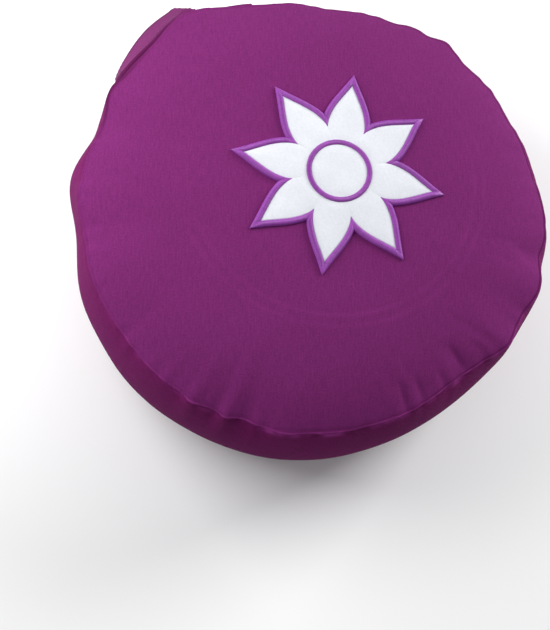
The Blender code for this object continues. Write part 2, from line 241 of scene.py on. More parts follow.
def bell(offset, width):
    """A smooth bump, 1 at offset 0 and nearly 0 at twice the width."""
    return np.exp(-((offset / width) ** 2))


def degrees_from(angle, at_deg):
    """Signed difference in degrees, from -180 to 180."""
    return (np.degrees(angle) - at_deg + 180.0) % 360.0 - 180.0


def bumps(table, column, angle):
    """Sum at an angle of a table's bumps, from a column in millimetres, in metres."""
    return sum(
        getattr(row, column) * MM * bell(degrees_from(angle, row.at_deg), row.width_deg)
        for row in table)


def plan_radius(angle):
    """Seam's radius without its puckers."""
    oval = OVAL * np.cos(2.0 * (angle - OVAL_AXIS))
    corner = CORNER * np.cos(3.0 * (angle - CORNER_AXIS))
    return SEAM_RADIUS + oval + corner


def seam_radius(angle):
    return plan_radius(angle) + bumps(PUCKERS, "out_mm", angle)


def seam_height(angle):
    return FACE_SEAM_Z + bumps(PUCKERS, "lift_mm", angle)


def lower_wave(angle):
    """Gathers of the lower seam."""
    swing = np.cos(LOWER_SWINGS * angle + LOWER_SWING_PHASE)
    return LOWER_WAVE_HEIGHT * swing * np.sin(LOWER_WAVES * angle)


def crease_depth(angle, share):
    """Depth of the creases, fading in from their inner end and out at the seam."""
    depth = 0.0
    for crease in CREASES:
        along = (share - crease.from_share) / (1.0 - crease.from_share)
        if 0.0 < along < 1.0:
            depth += math.sin(math.pi * along) ** CREASE_FADE * bumps((crease,), "depth_mm", angle)
    return depth


def face_ring(angle, share):
    """Radius and height of the face at a share of the way from its middle to the seam."""
    carried = share ** PUCKER_POWER
    radius = share * (plan_radius(angle) + bumps(PUCKERS, "out_mm", angle) * carried)
    crown = CROWN * (DOME_SHARE * (1.0 - share ** 2) + (1.0 - DOME_SHARE) * (1.0 - share ** ROLL_POWER))
    lift = bumps(PUCKERS, "lift_mm", angle) * carried
    return radius, FACE_SEAM_Z + crown + lift - crease_depth(angle, share)


def band_ring(angle, share):
    """Radius and height of the band at a share of the way down from the face's seam."""
    drop = share * BAND_HEIGHT
    upper = bumps(PUCKERS, "out_mm", angle) * math.exp(-drop / PUCKER_REACH)
    lower = lower_wave(angle) * math.exp((drop - BAND_HEIGHT) / PUCKER_REACH)
    fullest = BAND_BULGE + bumps(SWELLS, "out_mm", angle)
    bulge = fullest * max(math.sin(math.pi * share), 0.0) ** BULGE_FULLNESS
    height = BASE_RISE + (BAND_HEIGHT + bumps(PUCKERS, "lift_mm", angle)) * (1.0 - share)
    return plan_radius(angle) + upper + lower + bulge, height


def under_ring(angle, share):
    """Radius and height of the underside at a share of the way from its middle to its seam."""
    rise = max((share - REST_SHARE) / (1.0 - REST_SHARE), 0.0)
    radius = share * plan_radius(angle) + lower_wave(angle) * rise ** 2
    return radius, np.full_like(radius, BASE_RISE * rise ** UNDER_CURVE)


def cover_ring(angle, path):
    """The cover's ring at a path: 0 to 1 down the face, to 2 down the band, to 3 in under it."""
    if path <= 1.0:
        return face_ring(angle, path)
    if path <= 2.0:
        return band_ring(angle, path - 1.0)
    return under_ring(angle, 3.0 - path)


def from_seam(path):
    """Distances along the cover from the face's seam and from the lower seam."""
    panel_sizes = (SEAM_RADIUS, BAND_HEIGHT, SEAM_RADIUS)
    walked = np.interp(path, range(4), np.concatenate(([0.0], np.cumsum(panel_sizes))))
    upper = abs(walked - SEAM_RADIUS)
    lower = abs(walked - SEAM_RADIUS - BAND_HEIGHT)
    return upper, lower


def spaced(start, end, step):
    """Even values from start to end, both included, no further apart than step."""
    steps = max(1, math.ceil((end - start) / step - STEP_SLACK))
    return list(np.linspace(start, end, steps + 1))


def in_order(paths):
    """The paths in order, each one once."""
    return sorted(set(round(path, 6) for path in paths))


def finished_paths():
    """Paths of the finished cover's rings, close together by the seams."""
    reach = SEAM_STEPS[-1]
    face_beside = [step / SEAM_RADIUS for step in SEAM_STEPS]
    band_beside = [step / BAND_HEIGHT for step in SEAM_STEPS]
    paths = []
    start = 0.0
    for share, step in FACE_STEPS:
        end = min(share, 1.0 - reach / SEAM_RADIUS)
        paths += spaced(start, end, step / SEAM_RADIUS)
        start = end
    paths += [1.0 - beside for beside in face_beside]
    paths += [1.0 + beside for beside in band_beside]
    paths += spaced(1.0 + band_beside[-1], 2.0 - band_beside[-1], BAND_STEP / BAND_HEIGHT)
    paths += [2.0 - beside for beside in band_beside]
    paths += [2.0 + beside for beside in face_beside]
    paths += spaced(2.0 + face_beside[-1], REST_PATH, UNDER_STEP / SEAM_RADIUS)
    paths += spaced(REST_PATH, 3.0, REST_STEP / SEAM_RADIUS)
    return in_order(paths)


def simulated_paths():
    """Paths of the simulated cover's rings, with one on each seam."""
    step = SIMULATED_STEP / SEAM_RADIUS
    paths = spaced(0.0, 1.0, step) + spaced(1.0, 2.0, SIMULATED_STEP / BAND_HEIGHT)
    paths += spaced(2.0, REST_PATH, step) + spaced(REST_PATH, 3.0, REST_STEP / SEAM_RADIUS)
    return in_order(paths)


def stride_of(path):
    """One column in so many is kept at a path; 0 stands for a pole."""
    share = path if path <= 1.0 else 3.0 - path
    if share <= 0.0:
        return 0
    return next((stride for limit, stride in STRIDES if share <= limit), 1)


def around(columns):
    """Angles of a ring's columns."""
    return TURN * np.arange(columns) / columns


def ring_points(angle, radius, height):
    """Points at angles, radii and heights."""
    return np.stack((radius * np.cos(angle), radius * np.sin(angle), height), axis=-1)


def grid_normals(points):
    """Outward normals of a grid of points: rows from the face's middle down, columns anticlockwise."""
    down = np.gradient(points, axis=0)
    across = np.roll(points, -1, axis=1) - np.roll(points, 1, axis=1)
    normals = np.cross(down, across)
    length = np.linalg.norm(normals, axis=-1, keepdims=True)
    normals = normals / np.maximum(length, TINY)
    pole = length[..., 0] < TINY
    upright = np.zeros_like(points)
    upright[..., 2] = np.where(points[..., 2] > FACE_SEAM_Z, 1.0, -1.0)
    normals[pole] = upright[pole]
    return normals


def rows_between(upper, lower, upper_stride, lower_stride, columns):
    """Faces between two rows as lists of (row, column) corners, where each row keeps some columns."""
    if not upper_stride:
        starts = range(0, columns, lower_stride)
        return [((upper, 0), (lower, c), (lower, c + lower_stride)) for c in starts]
    if not lower_stride:
        starts = range(0, columns, upper_stride)
        return [((upper, c), (lower, 0), (upper, c + upper_stride)) for c in starts]
    faces = []
    coarse, fine = max(upper_stride, lower_stride), min(upper_stride, lower_stride)
    fine_row = lower if upper_stride >= lower_stride else upper
    coarse_row = upper if fine_row == lower else lower
    for start in range(0, columns, coarse):
        left, right = (coarse_row, start), (coarse_row, start + coarse)
        if coarse == fine:
            faces.append(((upper, start), (lower, start), (lower, start + fine), (upper, start + fine)))
            continue
        middle = start + coarse // 2
        for c in range(start, start + coarse, fine):
            owner = left if c < middle else right
            here, there = (fine_row, c), (fine_row, c + fine)
            faces.append((owner, here, there) if fine_row == lower else (here, owner, there))
        if fine_row == lower:
            faces.append((left, (fine_row, middle), right))
        else:
            faces.append(((fine_row, middle), left, right))
    return faces


def panel_uv(path, angle, panel):
    """Where a point lies on its flat cut panel, in metres: face 0, band 1, underside 2."""
    face = path * SEAM_RADIUS
    under = (3.0 - path) * SEAM_RADIUS
    across = (face * np.cos(angle), angle * SEAM_RADIUS, under * np.cos(angle))
    along = (face * np.sin(angle), (path - 1.0) * BAND_HEIGHT, under * np.sin(angle))
    return np.stack((np.choose(panel, across), np.choose(panel, along)), axis=-1)


def grid_mesh(name, points, paths):
    """A closed mesh over the grid, with UV map "weave" of its cut panels, and the vertices' rows."""
    columns = points.shape[1]
    strides = [stride_of(path) for path in paths]
    vertices, rows, first = [], [], []
    for row, stride in enumerate(strides):
        first.append(len(vertices))
        kept = points[row, ::stride] if stride else points[row, :1]
        vertices.extend(kept.tolist())
        rows.extend([row] * len(kept))
    corners = []
    for row in range(len(paths) - 1):
        corners += rows_between(row, row + 1, strides[row], strides[row + 1], columns)

    def index(corner):
        row, column = corner
        return first[row] + (column % columns) // strides[row] if strides[row] else first[row]

    mesh = bpy.data.meshes.new(name)
    mesh.from_pydata(vertices, [], [[index(corner) for corner in face] for face in corners])
    flat = [(paths[row], TURN * column / columns, min(paths[r] for r, _ in face))
            for face in corners for row, column in face]
    path, angle, upper_path = np.array(flat).T
    uv = panel_uv(path, angle, np.minimum(upper_path.astype(int), 2))
    mesh.uv_layers.new(name="weave").data.foreach_set("uv", uv.astype(np.float32).ravel())
    mesh.shade_smooth()
    return mesh, np.array(rows)


def strap_stillness(angle):
    """1 where the strap lies on the band, fading to 0 beside it."""
    past = np.abs(degrees_from(angle, math.degrees(STRAP_AT))) - STRAP_STILL_DEG
    return np.clip(1.0 - past / STRAP_STILL_FADE_DEG, 0.0, 1.0)


def held_share(path, angle):
    """How firmly the simulated cloth is held: at its seams, where it rests and under the strap."""
    upper, lower = from_seam(path)
    if path >= REST_PATH or min(upper, lower) < 0.5 * SIMULATED_STEP:
        return np.ones_like(angle)
    if path > 1.0:
        return strap_stillness(angle)
    return np.zeros_like(angle)


def linked(name, data):
    """A new object of the scene with this data."""
    thing = bpy.data.objects.new(name, data)
    bpy.context.scene.collection.objects.link(thing)
    return thing


def add_group(thing, name, weights):
    """A vertex group with a weight for each vertex."""
    group = thing.vertex_groups.new(name=name)
    for number, weight in enumerate(weights):
        group.add([number], float(weight), "REPLACE")


def filled(trial):
    """Points of a trial cover once its filling, a pressure inside it, has pressed it out."""
    cloth = trial.modifiers.new("filling", "CLOTH")
    cloth.settings.vertex_group_mass = "held"
    cloth.settings.vertex_group_shrink = "eased"
    cloth.settings.shrink_min = 0.0
    cloth.settings.shrink_max = -FILL_EASE
    cloth.settings.use_pressure = True
    cloth.settings.uniform_pressure_force = FILL_PRESSURE
    cloth.settings.effector_weights.gravity = 0.0
    cloth.point_cache.frame_end = FILL_FRAMES
    for number in range(1, FILL_FRAMES + 1):
        bpy.context.scene.frame_set(number)
    settled = trial.evaluated_get(bpy.context.evaluated_depsgraph_get()).data
    places = np.empty(len(settled.vertices) * 3, np.float32)
    settled.vertices.foreach_get("co", places)
    bpy.context.scene.frame_set(1)
    return places.reshape(-1, 3)


def settle(points, paths, cap):
    """How the filling moves the cover: (rows, columns, 3) out, round and up, in metres.

    A cloth simulation with pressure inside and a little spare cloth beside the seams. Each ring's
    mean movement is taken out, so that the cushion keeps its profile and gets the unevenness.
    """
    angle = around(points.shape[1])
    mesh, rows = grid_mesh("filling_trial", points, paths)
    trial = linked("filling_trial", mesh)
    held, eased = [], []
    for row, path in enumerate(paths):
        stride = stride_of(path)
        kept = angle[::stride] if stride else angle[:1]
        held.extend(held_share(path, kept))
        eased.extend([float(bell(min(from_seam(path)), FILL_EASE_REACH))] * len(kept))
    add_group(trial, "held", held)
    add_group(trial, "eased", eased)
    after = filled(trial)
    moved = np.zeros_like(points)
    for row, path in enumerate(paths):
        stride = stride_of(path)
        if not stride:
            continue
        change = after[rows == row] - points[row, ::stride]
        for axis in range(3):
            moved[row, :, axis] = np.interp(angle, angle[::stride], change[:, axis], period=TURN)
    bpy.data.objects.remove(trial)
    bpy.data.meshes.remove(mesh)
    length = np.linalg.norm(moved, axis=-1, keepdims=True)
    moved *= np.minimum(1.0, cap / np.maximum(length, TINY))
    out = moved[..., 0] * np.cos(angle) + moved[..., 1] * np.sin(angle)
    round_it = moved[..., 1] * np.cos(angle) - moved[..., 0] * np.sin(angle)
    out -= out.mean(axis=1, keepdims=True)
    up = moved[..., 2] - moved[..., 2].mean(axis=1, keepdims=True)
    return np.stack((out, round_it, up), axis=-1)


def at_grid(values, paths, columns, wanted_paths, wanted_columns):
    """The grid of values read at other rows and columns."""
    angle, wanted = around(columns), around(wanted_columns)
    widened = np.stack([
        np.stack([np.interp(wanted, angle, row[:, axis], period=TURN) for axis in range(3)], axis=-1)
        for row in values])
    result = np.empty((len(wanted_paths), wanted_columns, 3))
    for row, path in enumerate(wanted_paths):
        upper = min(int(np.searchsorted(paths, path, side="right")) - 1, len(paths) - 2)
        share = (path - paths[upper]) / (paths[upper + 1] - paths[upper])
        result[row] = (1.0 - share) * widened[upper] + share * widened[upper + 1]
    return result


def ridge_share(angle):
    """How much of its full height the seam's ridge has, uneven and lower on the far side."""
    patches = np.array([
        noise.noise(Vector((math.cos(a), math.sin(a), 0.0)) * SEAM_RADIUS / RIDGE_PATCH) for a in angle])
    side = 0.5 + 0.5 * np.cos(angle - math.radians(RIDGE_TOWARDS_DEG))
    higher = np.clip(0.5 + RIDGE_CONTRAST * patches, 0.0, 1.0)
    return RIDGE_LEAST + (1.0 - RIDGE_LEAST) * side * higher


def seam_relief(distance, ridge):
    """Height of the seam's section at a distance from its middle."""
    return ridge * bell(distance, RIDGE_WIDTH) - GROOVE * bell(distance - GROOVE_AT, GROOVE_WIDTH)


def fine_relief(path, angle, points, cover):
    """Height over the plain form: seams, gathers beside them, pinches and the filling's lumps."""
    upper, lower = from_seam(path)
    free = 1.0 - strap_stillness(angle) * (1.0 < path < 2.0)
    beside = math.exp(-min(upper, lower) / GATHER_REACH)
    first, second, slow = GATHER_WAVES
    swell = (1.0 - GATHER_SWELL) + GATHER_SWELL * np.sin(slow * angle)
    gathers = np.sin(first * angle + GATHER_PHASE) * swell + GATHER_SECOND * np.sin(second * angle)
    height = GATHER_HEIGHT * cover.gathers * beside * gathers * free
    if 1.0 < path < 2.0:
        height = height - bumps(PINCHES, "depth_mm", angle) * math.exp(-upper / PINCH_REACH) * free
    if path < REST_PATH:
        lumps = [noise.noise(Vector(point) / LUMP_SIZE) for point in points]
        level = min(1.0, (REST_PATH - path) / LUMP_FADE)
        height = height + LUMP_HEIGHT * cover.lumps * level * np.array(lumps) * free
    ridge = cover.ridge * ridge_share(angle)
    return height + seam_relief(upper, ridge) + seam_relief(lower, ridge)


def finished_cover(cover):
    """Points of the finished cover and the paths of its rows."""
    paths = finished_paths()
    angle = around(COLUMNS)
    rings = [cover_ring(angle, path) for path in paths]
    if cover.settle:
        plain_paths = simulated_paths()
        plain_angle = around(SIMULATED_COLUMNS)
        plain = np.stack([
            ring_points(plain_angle, *cover_ring(plain_angle, path)) for path in plain_paths])
        moved = settle(plain, plain_paths, cover.settle_cap)
        moved = at_grid(moved, plain_paths, SIMULATED_COLUMNS, paths, COLUMNS)
    else:
        moved = np.zeros((len(paths), COLUMNS, 3))
    points = np.stack([
        ring_points(angle + turn / np.maximum(radius, MM), radius + out, height + up)
        for (radius, height), (out, turn, up) in zip(rings, moved.transpose(0, 2, 1))])
    normals = grid_normals(points)
    relief = np.stack([
        np.broadcast_to(fine_relief(path, angle, row, cover), angle.shape)
        for path, row in zip(paths, points)])
    points = points + normals * relief[..., None]
    resting = np.array(paths) >= REST_PATH
    points[resting, :, 2] = 0.0
    return points, paths


# ---------------------------------------------------------------- carry handle

STRAP_AT = math.radians(90.0)
STRAP_HALF_SPAN = math.radians(19.9)
STRAP_WIDTH = 0.0328          # with its rounded long edges
STRAP_THICKNESS = 0.0030
STRAP_DROP_END = 0.0110       # its upper edge below the seam, at the sewn ends
STRAP_DROP_MIDDLE = 0.0078    # and at its middle
STRAP_STANDOFF = 0.0012       # its upper edge out from the seam, at its middle
STRAP_LEAN = math.radians(32.5)
STRAP_FREE_SHARE = 0.940      # share of the half span that isn't sewn down
STRAP_FULLNESS = 0.45         # power of its even bow: less is fuller
STRAP_SEAT = -0.0002          # its inner side off the band where it lies on it: pressed in a little

# Creases across the strap, where it stands further out or in than its even bow
STRAP_CREASES = (
    Swell(78.5, -2.0, 3.5),
    Swell(83.0, -1.8, 1.8),
    Swell(86.3, 2.4, 1.5),
    Swell(91.5, -0.4, 2.5),
)
# Stretches where its lower edge stands further out still
STRAP_FLARES = (
    Swell(98.5, 2.2, 6.5),
)
STRAP_STATIONS = 121
STRAP_ACROSS = 33
STRAP_DOWNS = np.linspace(0.0, STRAP_WIDTH, STRAP_ACROSS)
STRAP_END_ROUND = 0.0012      # length over which an end thins to its turned-in fold
STRAP_END_LEAST = 0.15        # share of the thickness that is left there
STRAP_END_STEPS = 5
STRAP_EDGE_ROUND = 0.0013
STRAP_EDGE_LEAST = 0.14142    # share of the thickness that is left at the long edges
STRAP_ROW_AT = 0.0032         # rows of stitches, in from the long edges
STRAP_ROW = round(STRAP_ROW_AT / STRAP_WIDTH * (STRAP_ACROSS - 1))
STRAP_ROW_DENT = 0.00045
STRAP_ROW_WIDTH = 0.0013
STRAP_LENGTH = 2.0 * STRAP_HALF_SPAN * (SEAM_RADIUS + BAND_BULGE)
STRAP_EDGE_SHADE = 0.0022     # stretch of painted shade on the strap along its upper edge, beside the rim
STRAP_SHADE_FROM = -0.004     # where along it that shade starts, from the strap's middle
STRAP_SHADE_FADE = 0.014      # over which it starts
STRAP_END_SHADE = 0.0016      # stretch of painted shade at its sewn ends
STRAP_SEWN_ROWS = (0.905, 0.965)      # cross rows of stitches, as shares of the half span


def strap_bow(along):
    """How far the strap has left the band, 0 at its sewn ends and 1 at its middle."""
    share = min(abs(along) / STRAP_FREE_SHARE, 1.0)
    return max(math.cos(0.5 * math.pi * share), 0.0) ** STRAP_FULLNESS


def outside_band(angle, point):
    """The (radius, height) point, moved out if need be so that it is only seated on the band."""
    top = float(seam_height(angle))
    share = (top - point[1]) / (top - BASE_RISE)
    nearest = float(band_ring(angle, max(share, 0.0))[0]) + STRAP_SEAT
    return (max(point[0], nearest), point[1])


def strap_inner_line(angle, bow):
    """(radius, height) points across the strap's inner side, from its upper edge down."""
    points = []
    crease = float(bumps(STRAP_CREASES, "out_mm", angle))
    flare = float(bumps(STRAP_FLARES, "out_mm", angle))
    for down in STRAP_DOWNS:
        radius, height = band_ring(angle, (STRAP_DROP_END + down) / BAND_HEIGHT)
        sewn = (float(radius) + STRAP_SEAT, float(height))
        out = STRAP_STANDOFF + crease + flare * down / STRAP_WIDTH + down * math.sin(STRAP_LEAN)
        leaning = (
            float(seam_radius(angle)) + out,
            float(seam_height(angle)) - STRAP_DROP_MIDDLE - down * math.cos(STRAP_LEAN))
        bowed = tuple((1.0 - bow) * s + bow * f for s, f in zip(sewn, leaning))
        points.append(outside_band(angle, bowed))
    return points


def move_left(line, distances):
    """The line of points moved square to itself, to the left of the way it runs."""
    moved = []
    for i, (point, distance) in enumerate(zip(line, distances)):
        before = line[max(i - 1, 0)]
        after = line[min(i + 1, len(line) - 1)]
        step = distance / math.dist(before, after)
        moved.append((
            point[0] - step * (after[1] - before[1]),
            point[1] + step * (after[0] - before[0])))
    return moved


def rounded(share, least):
    """Height of a quarter round at a share of its width, from least at its edge to 1."""
    return math.sqrt(max(1.0 - (1.0 - min(share, 1.0)) ** 2, least ** 2))


def strap_thickness(down):
    """Thickness across the strap: rounded at its long edges and drawn in along its stitches."""
    edge = min(down, STRAP_WIDTH - down)
    dent = STRAP_ROW_DENT * bell(edge - STRAP_ROW_AT, STRAP_ROW_WIDTH)
    return (STRAP_THICKNESS - dent) * rounded(edge / STRAP_EDGE_ROUND, STRAP_EDGE_LEAST)


def strap_stations():
    """Stations along the strap from -1 to 1, closer together at its rounded ends."""
    end = STRAP_END_ROUND / (0.5 * STRAP_LENGTH)
    turns = np.linspace(0.0, 0.5 * math.pi, STRAP_END_STEPS + 1)
    last = [1.0 - end * (1.0 - math.cos(turn)) for turn in turns]
    middle = np.linspace(-last[-1], last[-1], STRAP_STATIONS).tolist()
    return [-share for share in last[:-1]] + middle + last[-2::-1]


def strap_line(along, lift):
    """Points across the strap at a station, at a share of its thickness from its inner side."""
    angle = STRAP_AT + STRAP_HALF_SPAN * along
    inner = strap_inner_line(angle, strap_bow(along))
    from_end = (1.0 - abs(along)) * 0.5 * STRAP_LENGTH
    lift *= rounded(from_end / STRAP_END_ROUND, STRAP_END_LEAST)
    moved = move_left(inner, [lift * strap_thickness(down) for down in STRAP_DOWNS])
    return [(radius * math.cos(angle), radius * math.sin(angle), height) for radius, height in moved]


def strap_mesh():
    """The folded strap as a closed mesh, with UV map "weave" along and across it."""
    stations = strap_stations()
    sections = [strap_line(along, 0.0) + strap_line(along, 1.0)[::-1] for along in stations]
    size = len(sections[0])
    vertices = [point for section in sections for point in section]
    across = np.concatenate((STRAP_DOWNS, 2.0 * STRAP_WIDTH - STRAP_DOWNS[::-1]))
    faces, uvs = [], []
    for s in range(len(sections) - 1):
        here, there = (0.5 * STRAP_LENGTH * station for station in stations[s:s + 2])
        for i in range(size):
            j = (i + 1) % size
            faces.append((s * size + i, s * size + j, (s + 1) * size + j, (s + 1) * size + i))
            right = across[j] if j else 2.0 * STRAP_WIDTH
            uvs += [(here, across[i]), (here, right), (there, right), (there, across[i])]
    for start in (0, (len(sections) - 1) * size):
        for i in range(STRAP_ACROSS - 1):
            ends = [start + k for k in (i, i + 1, size - 2 - i, size - 1 - i)]
            faces.append(ends if start else ends[::-1])
            uvs += [(0.0, across[k - start]) for k in faces[-1]]
    mesh = bpy.data.meshes.new("strap")
    mesh.from_pydata(vertices, [], faces)
    mesh.uv_layers.new(name="weave").data.foreach_set("uv", np.array(uvs, np.float32).ravel())
    mesh.shade_smooth()
    return mesh


# ---------------------------------------------------------------- rosette

ROSETTE_X = 0.0204
ROSETTE_Y = 0.0079
ROSETTE_TURN = math.radians(90.0)
PETALS = 8
NOTCH_ANGLE = math.pi / PETALS
PETAL_TIP = 0.0682            # cloth's radius at a petal's tip
PETAL_NOTCH = 0.0345          # cloth's radius between two petals
PETAL_TIP_ANGLE = math.radians(27.0)      # between a petal's axis and its edge, at the tip
PETAL_FOOT_ANGLE = math.radians(6.0)      # and at the notch, leaning the other way
PETAL_TIP_PULL = 0.014        # how long the edge keeps each of those directions
PETAL_FOOT_PULL = 0.013
PETAL_OVERRUN = 0.014         # straight stretch past the tip, for the edging's longer point
PETAL_CURVE_STEPS = 80
PETAL_EDGE_STEPS = 26
CLOTH_THICKNESS = 0.0009
CLOTH_RINGS = 26
CLOTH_PUFF = 0.0006           # how far the cloth stands up between its stitched lines
PUFF_FULLNESS = 5             # power of its fall to the cloth's edge: more is fuller
CRUMPLE = 0.35                # share of the puff that small crumples add and take
CRUMPLE_SIZE = 0.011
CRUMPLE_SLICE = 0.3           # height at which their noise is read
EDGING_WIDTH = 0.0036
EDGING_COVERS = 0.0004        # how far the edging lies over the cloth's raw edge
EDGING_SPAN = EDGING_COVERS + CLEARANCE + EDGING_WIDTH
EDGING_HEIGHT = 0.0019
RING_RADIUS = 0.0215
RING_WIDTH = 0.0036
RING_HEIGHT = 0.0011
RING_COUNT = 160
RING_END_GAP = 1e-3           # angle between its last thread and its first
RING_PRESS = 0.8              # share of the cloth's puff that the ring presses flat
RING_PRESS_WIDTH = 1.1 * RING_WIDTH

# A stitched line's padded core: its height under the threads, and its section across and up
CORE_SHARE = 0.82
CORE_SECTION = (
    (0.0, 0.0), (0.04, 0.55), (0.2, 0.85), (0.5, 1.0), (0.8, 0.85), (0.96, 0.55), (1.0, 0.0))
SHORTEST_RUNG = 0.0003        # shorter ones, at tips and notches, get no thread

# Threads: satin stitches on the rosette, topstitches on the strap
SATIN_UNEVENNESS = 0.05
EDGING_SEED = 3
RING_SEED = 4
STITCH_WIDTH = 0.00055
STITCH_RISE = 0.00045
STITCH_UNEVENNESS = 0.06
STITCH_SEED = 5


def petal_curve():
    """Half of a petal's edge, beside +X: from past its tip, along a cubic curve, past the notch."""
    tip_cos, tip_sin = math.cos(PETAL_TIP_ANGLE), math.sin(PETAL_TIP_ANGLE)
    foot_cos, foot_sin = math.cos(PETAL_FOOT_ANGLE), math.sin(PETAL_FOOT_ANGLE)
    start = (PETAL_TIP, 0.0)
    end = (PETAL_NOTCH * math.cos(NOTCH_ANGLE), PETAL_NOTCH * math.sin(NOTCH_ANGLE))
    first = (start[0] - PETAL_TIP_PULL * tip_cos, PETAL_TIP_PULL * tip_sin)
    second = (end[0] + PETAL_FOOT_PULL * foot_cos, end[1] + PETAL_FOOT_PULL * foot_sin)
    points = [(PETAL_TIP + PETAL_OVERRUN * tip_cos, -PETAL_OVERRUN * tip_sin)]
    for step in range(PETAL_CURVE_STEPS + 1):
        t = step / PETAL_CURVE_STEPS
        weights = ((1.0 - t) ** 3, 3.0 * t * (1.0 - t) ** 2, 3.0 * t * t * (1.0 - t), t ** 3)
        points.append(tuple(
            sum(w * p[axis] for w, p in zip(weights, (start, first, second, end))) for axis in (0, 1)))
    points.append((end[0] - PETAL_OVERRUN * foot_cos, end[1] - PETAL_OVERRUN * foot_sin))
    return points


def beside_axis(point):
    """Distance from the petal's axis, above 0 on the half that is drawn."""
    return point[1]


def before_notch(point):
    """Distance from the line through the notch, above 0 on the petal's side."""
    return point[0] * math.sin(NOTCH_ANGLE) - point[1] * math.cos(NOTCH_ANGLE)


def keep_side(points, side):
    """The stretch of a line where side(point) isn't negative, ending where it crosses zero."""
    kept = []
    for here, there in zip(points, points[1:]):
        a, b = side(here), side(there)
        if a >= 0.0:
            kept.append(here)
        if a * b < 0.0:
            kept.append(tuple(h + (t - h) * a / (a - b) for h, t in zip(here, there)))
    if side(points[-1]) >= 0.0:
        kept.append(points[-1])
    return kept


def evenly(points, count):
    """count + 1 points at even steps of length along a line."""
    points = np.array(points)
    lengths = np.concatenate(([0.0], np.cumsum(np.linalg.norm(np.diff(points, axis=0), axis=1))))
    wanted = np.linspace(0.0, lengths[-1], count + 1)
    return np.stack([np.interp(wanted, lengths, points[:, axis]) for axis in (0, 1)], axis=-1).tolist()


def turned(point, angle):
    """The point turned about the rosette's middle."""
    return (
        point[0] * math.cos(angle) - point[1] * math.sin(angle),
        point[0] * math.sin(angle) + point[1] * math.cos(angle))


def rosette_outline(offset):
    """Points round the rosette, moved out from the cloth's edge, about the rosette's own middle."""
    curve = petal_curve()
    moved = keep_side(move_left(curve, [-offset] * len(curve)), beside_axis)
    moved = keep_side(moved, before_notch)
    half = evenly(moved, PETAL_EDGE_STEPS)
    petal = [(x, -y) for x, y in half[:0:-1]] + half[:-1]
    return [turned(point, ROSETTE_TURN + TURN * number / PETALS)
            for number in range(PETALS) for point in petal]


class Face:
    """The finished cover's upper side, for laying things on it."""

    def __init__(self):
        cover = bpy.data.objects.get("cushion_cover")
        if cover is None:
            raise RuntimeError("the rosette and its edging need the cover first")
        mesh = cover.data
        self.tree = BVHTree.FromPolygons(
            [vertex.co for vertex in mesh.vertices], [list(face.vertices) for face in mesh.polygons])

    def lay(self, point, lift):
        """A point of the rosette's plane on the face, lifted off it, and the direction up there."""
        start = Vector((ROSETTE_X + point[0], ROSETTE_Y + point[1], ABOVE))
        hit, normal, _, _ = self.tree.ray_cast(start, Vector((0.0, 0.0, -1.0)))
        if hit is None:
            raise RuntimeError(f"no face of the cover under {point}")
        return hit + Vector((0.0, 0.0, lift)), normal


def cloth_mesh(face, puff):
    """The rosette's cloth as a closed mesh, with UV map "weave" in its own plane."""
    outline = np.array(rosette_outline(0.0))
    shares = np.linspace(0.0, 1.0, CLOTH_RINGS + 1)[1:]
    vertices, flat = [], []

    def add(point, lift):
        vertices.append(face.lay(point, lift)[0])
        flat.append(tuple(point))

    def stand(point, share):
        pressed = RING_PRESS * bell(math.hypot(*point) - RING_RADIUS, RING_PRESS_WIDTH)
        crumple = CRUMPLE * noise.noise(Vector((*point, CRUMPLE_SLICE)) / CRUMPLE_SIZE)
        stood = puff * (1.0 - share ** PUFF_FULLNESS) * (1.0 - pressed) * (1.0 + crumple)
        return CLEARANCE + CLOTH_THICKNESS + stood

    add((0.0, 0.0), stand((0.0, 0.0), 0.0))
    for share in shares:
        for point in outline * share:
            add(point, stand(point, share))
    for share in shares[::-1]:
        for point in outline * share:
            add(point, CLEARANCE)
    add((0.0, 0.0), CLEARANCE)
    count = len(outline)
    faces = [(0, 1 + i, 1 + (i + 1) % count) for i in range(count)]
    for ring in range(2 * len(shares) - 1):
        near, far = 1 + ring * count, 1 + (ring + 1) * count
        for i in range(count):
            j = (i + 1) % count
            faces.append((near + i, far + i, far + j, near + j))
    last, bottom = 1 + (2 * len(shares) - 1) * count, len(vertices) - 1
    faces += [(last + i, bottom, last + (i + 1) % count) for i in range(count)]
    mesh = bpy.data.meshes.new("rosette_cloth")
    mesh.from_pydata(vertices, [], faces)
    uv = [flat[corner] for polygon in faces for corner in polygon]
    mesh.uv_layers.new(name="weave").data.foreach_set("uv", np.array(uv, np.float32).ravel())
    mesh.shade_smooth()
    return mesh


def outline_area():
    """Area inside the rosette's cloth, in square metres."""
    points = rosette_outline(0.0)
    return 0.5 * abs(sum(a[0] * b[1] - b[0] * a[1] for a, b in zip(points, points[1:] + points[:1])))


def core_mesh(name, columns):
    """The padded core of a stitched line, as a closed tube over columns of points round it."""
    sections = list(zip(*columns))
    size, count = len(sections[0]), len(sections)
    vertices = [point for section in sections for point in section]
    faces = [
        (s * size + i, s * size + (i + 1) % size,
         (s + 1) % count * size + (i + 1) % size, (s + 1) % count * size + i)
        for s in range(count) for i in range(size)]
    mesh = bpy.data.meshes.new(name)
    mesh.from_pydata(vertices, [], faces)
    mesh.shade_smooth()
    return mesh


def edging_core(face):
    """The core round the rosette, from over the cloth's raw edge outwards."""
    columns = []
    for across, up in CORE_SECTION:
        offset = EDGING_SPAN * across - EDGING_COVERS
        lift = CLEARANCE + EDGING_HEIGHT * CORE_SHARE * up
        columns.append([face.lay(point, lift)[0] for point in rosette_outline(offset)])
    return core_mesh("edging_core", columns)


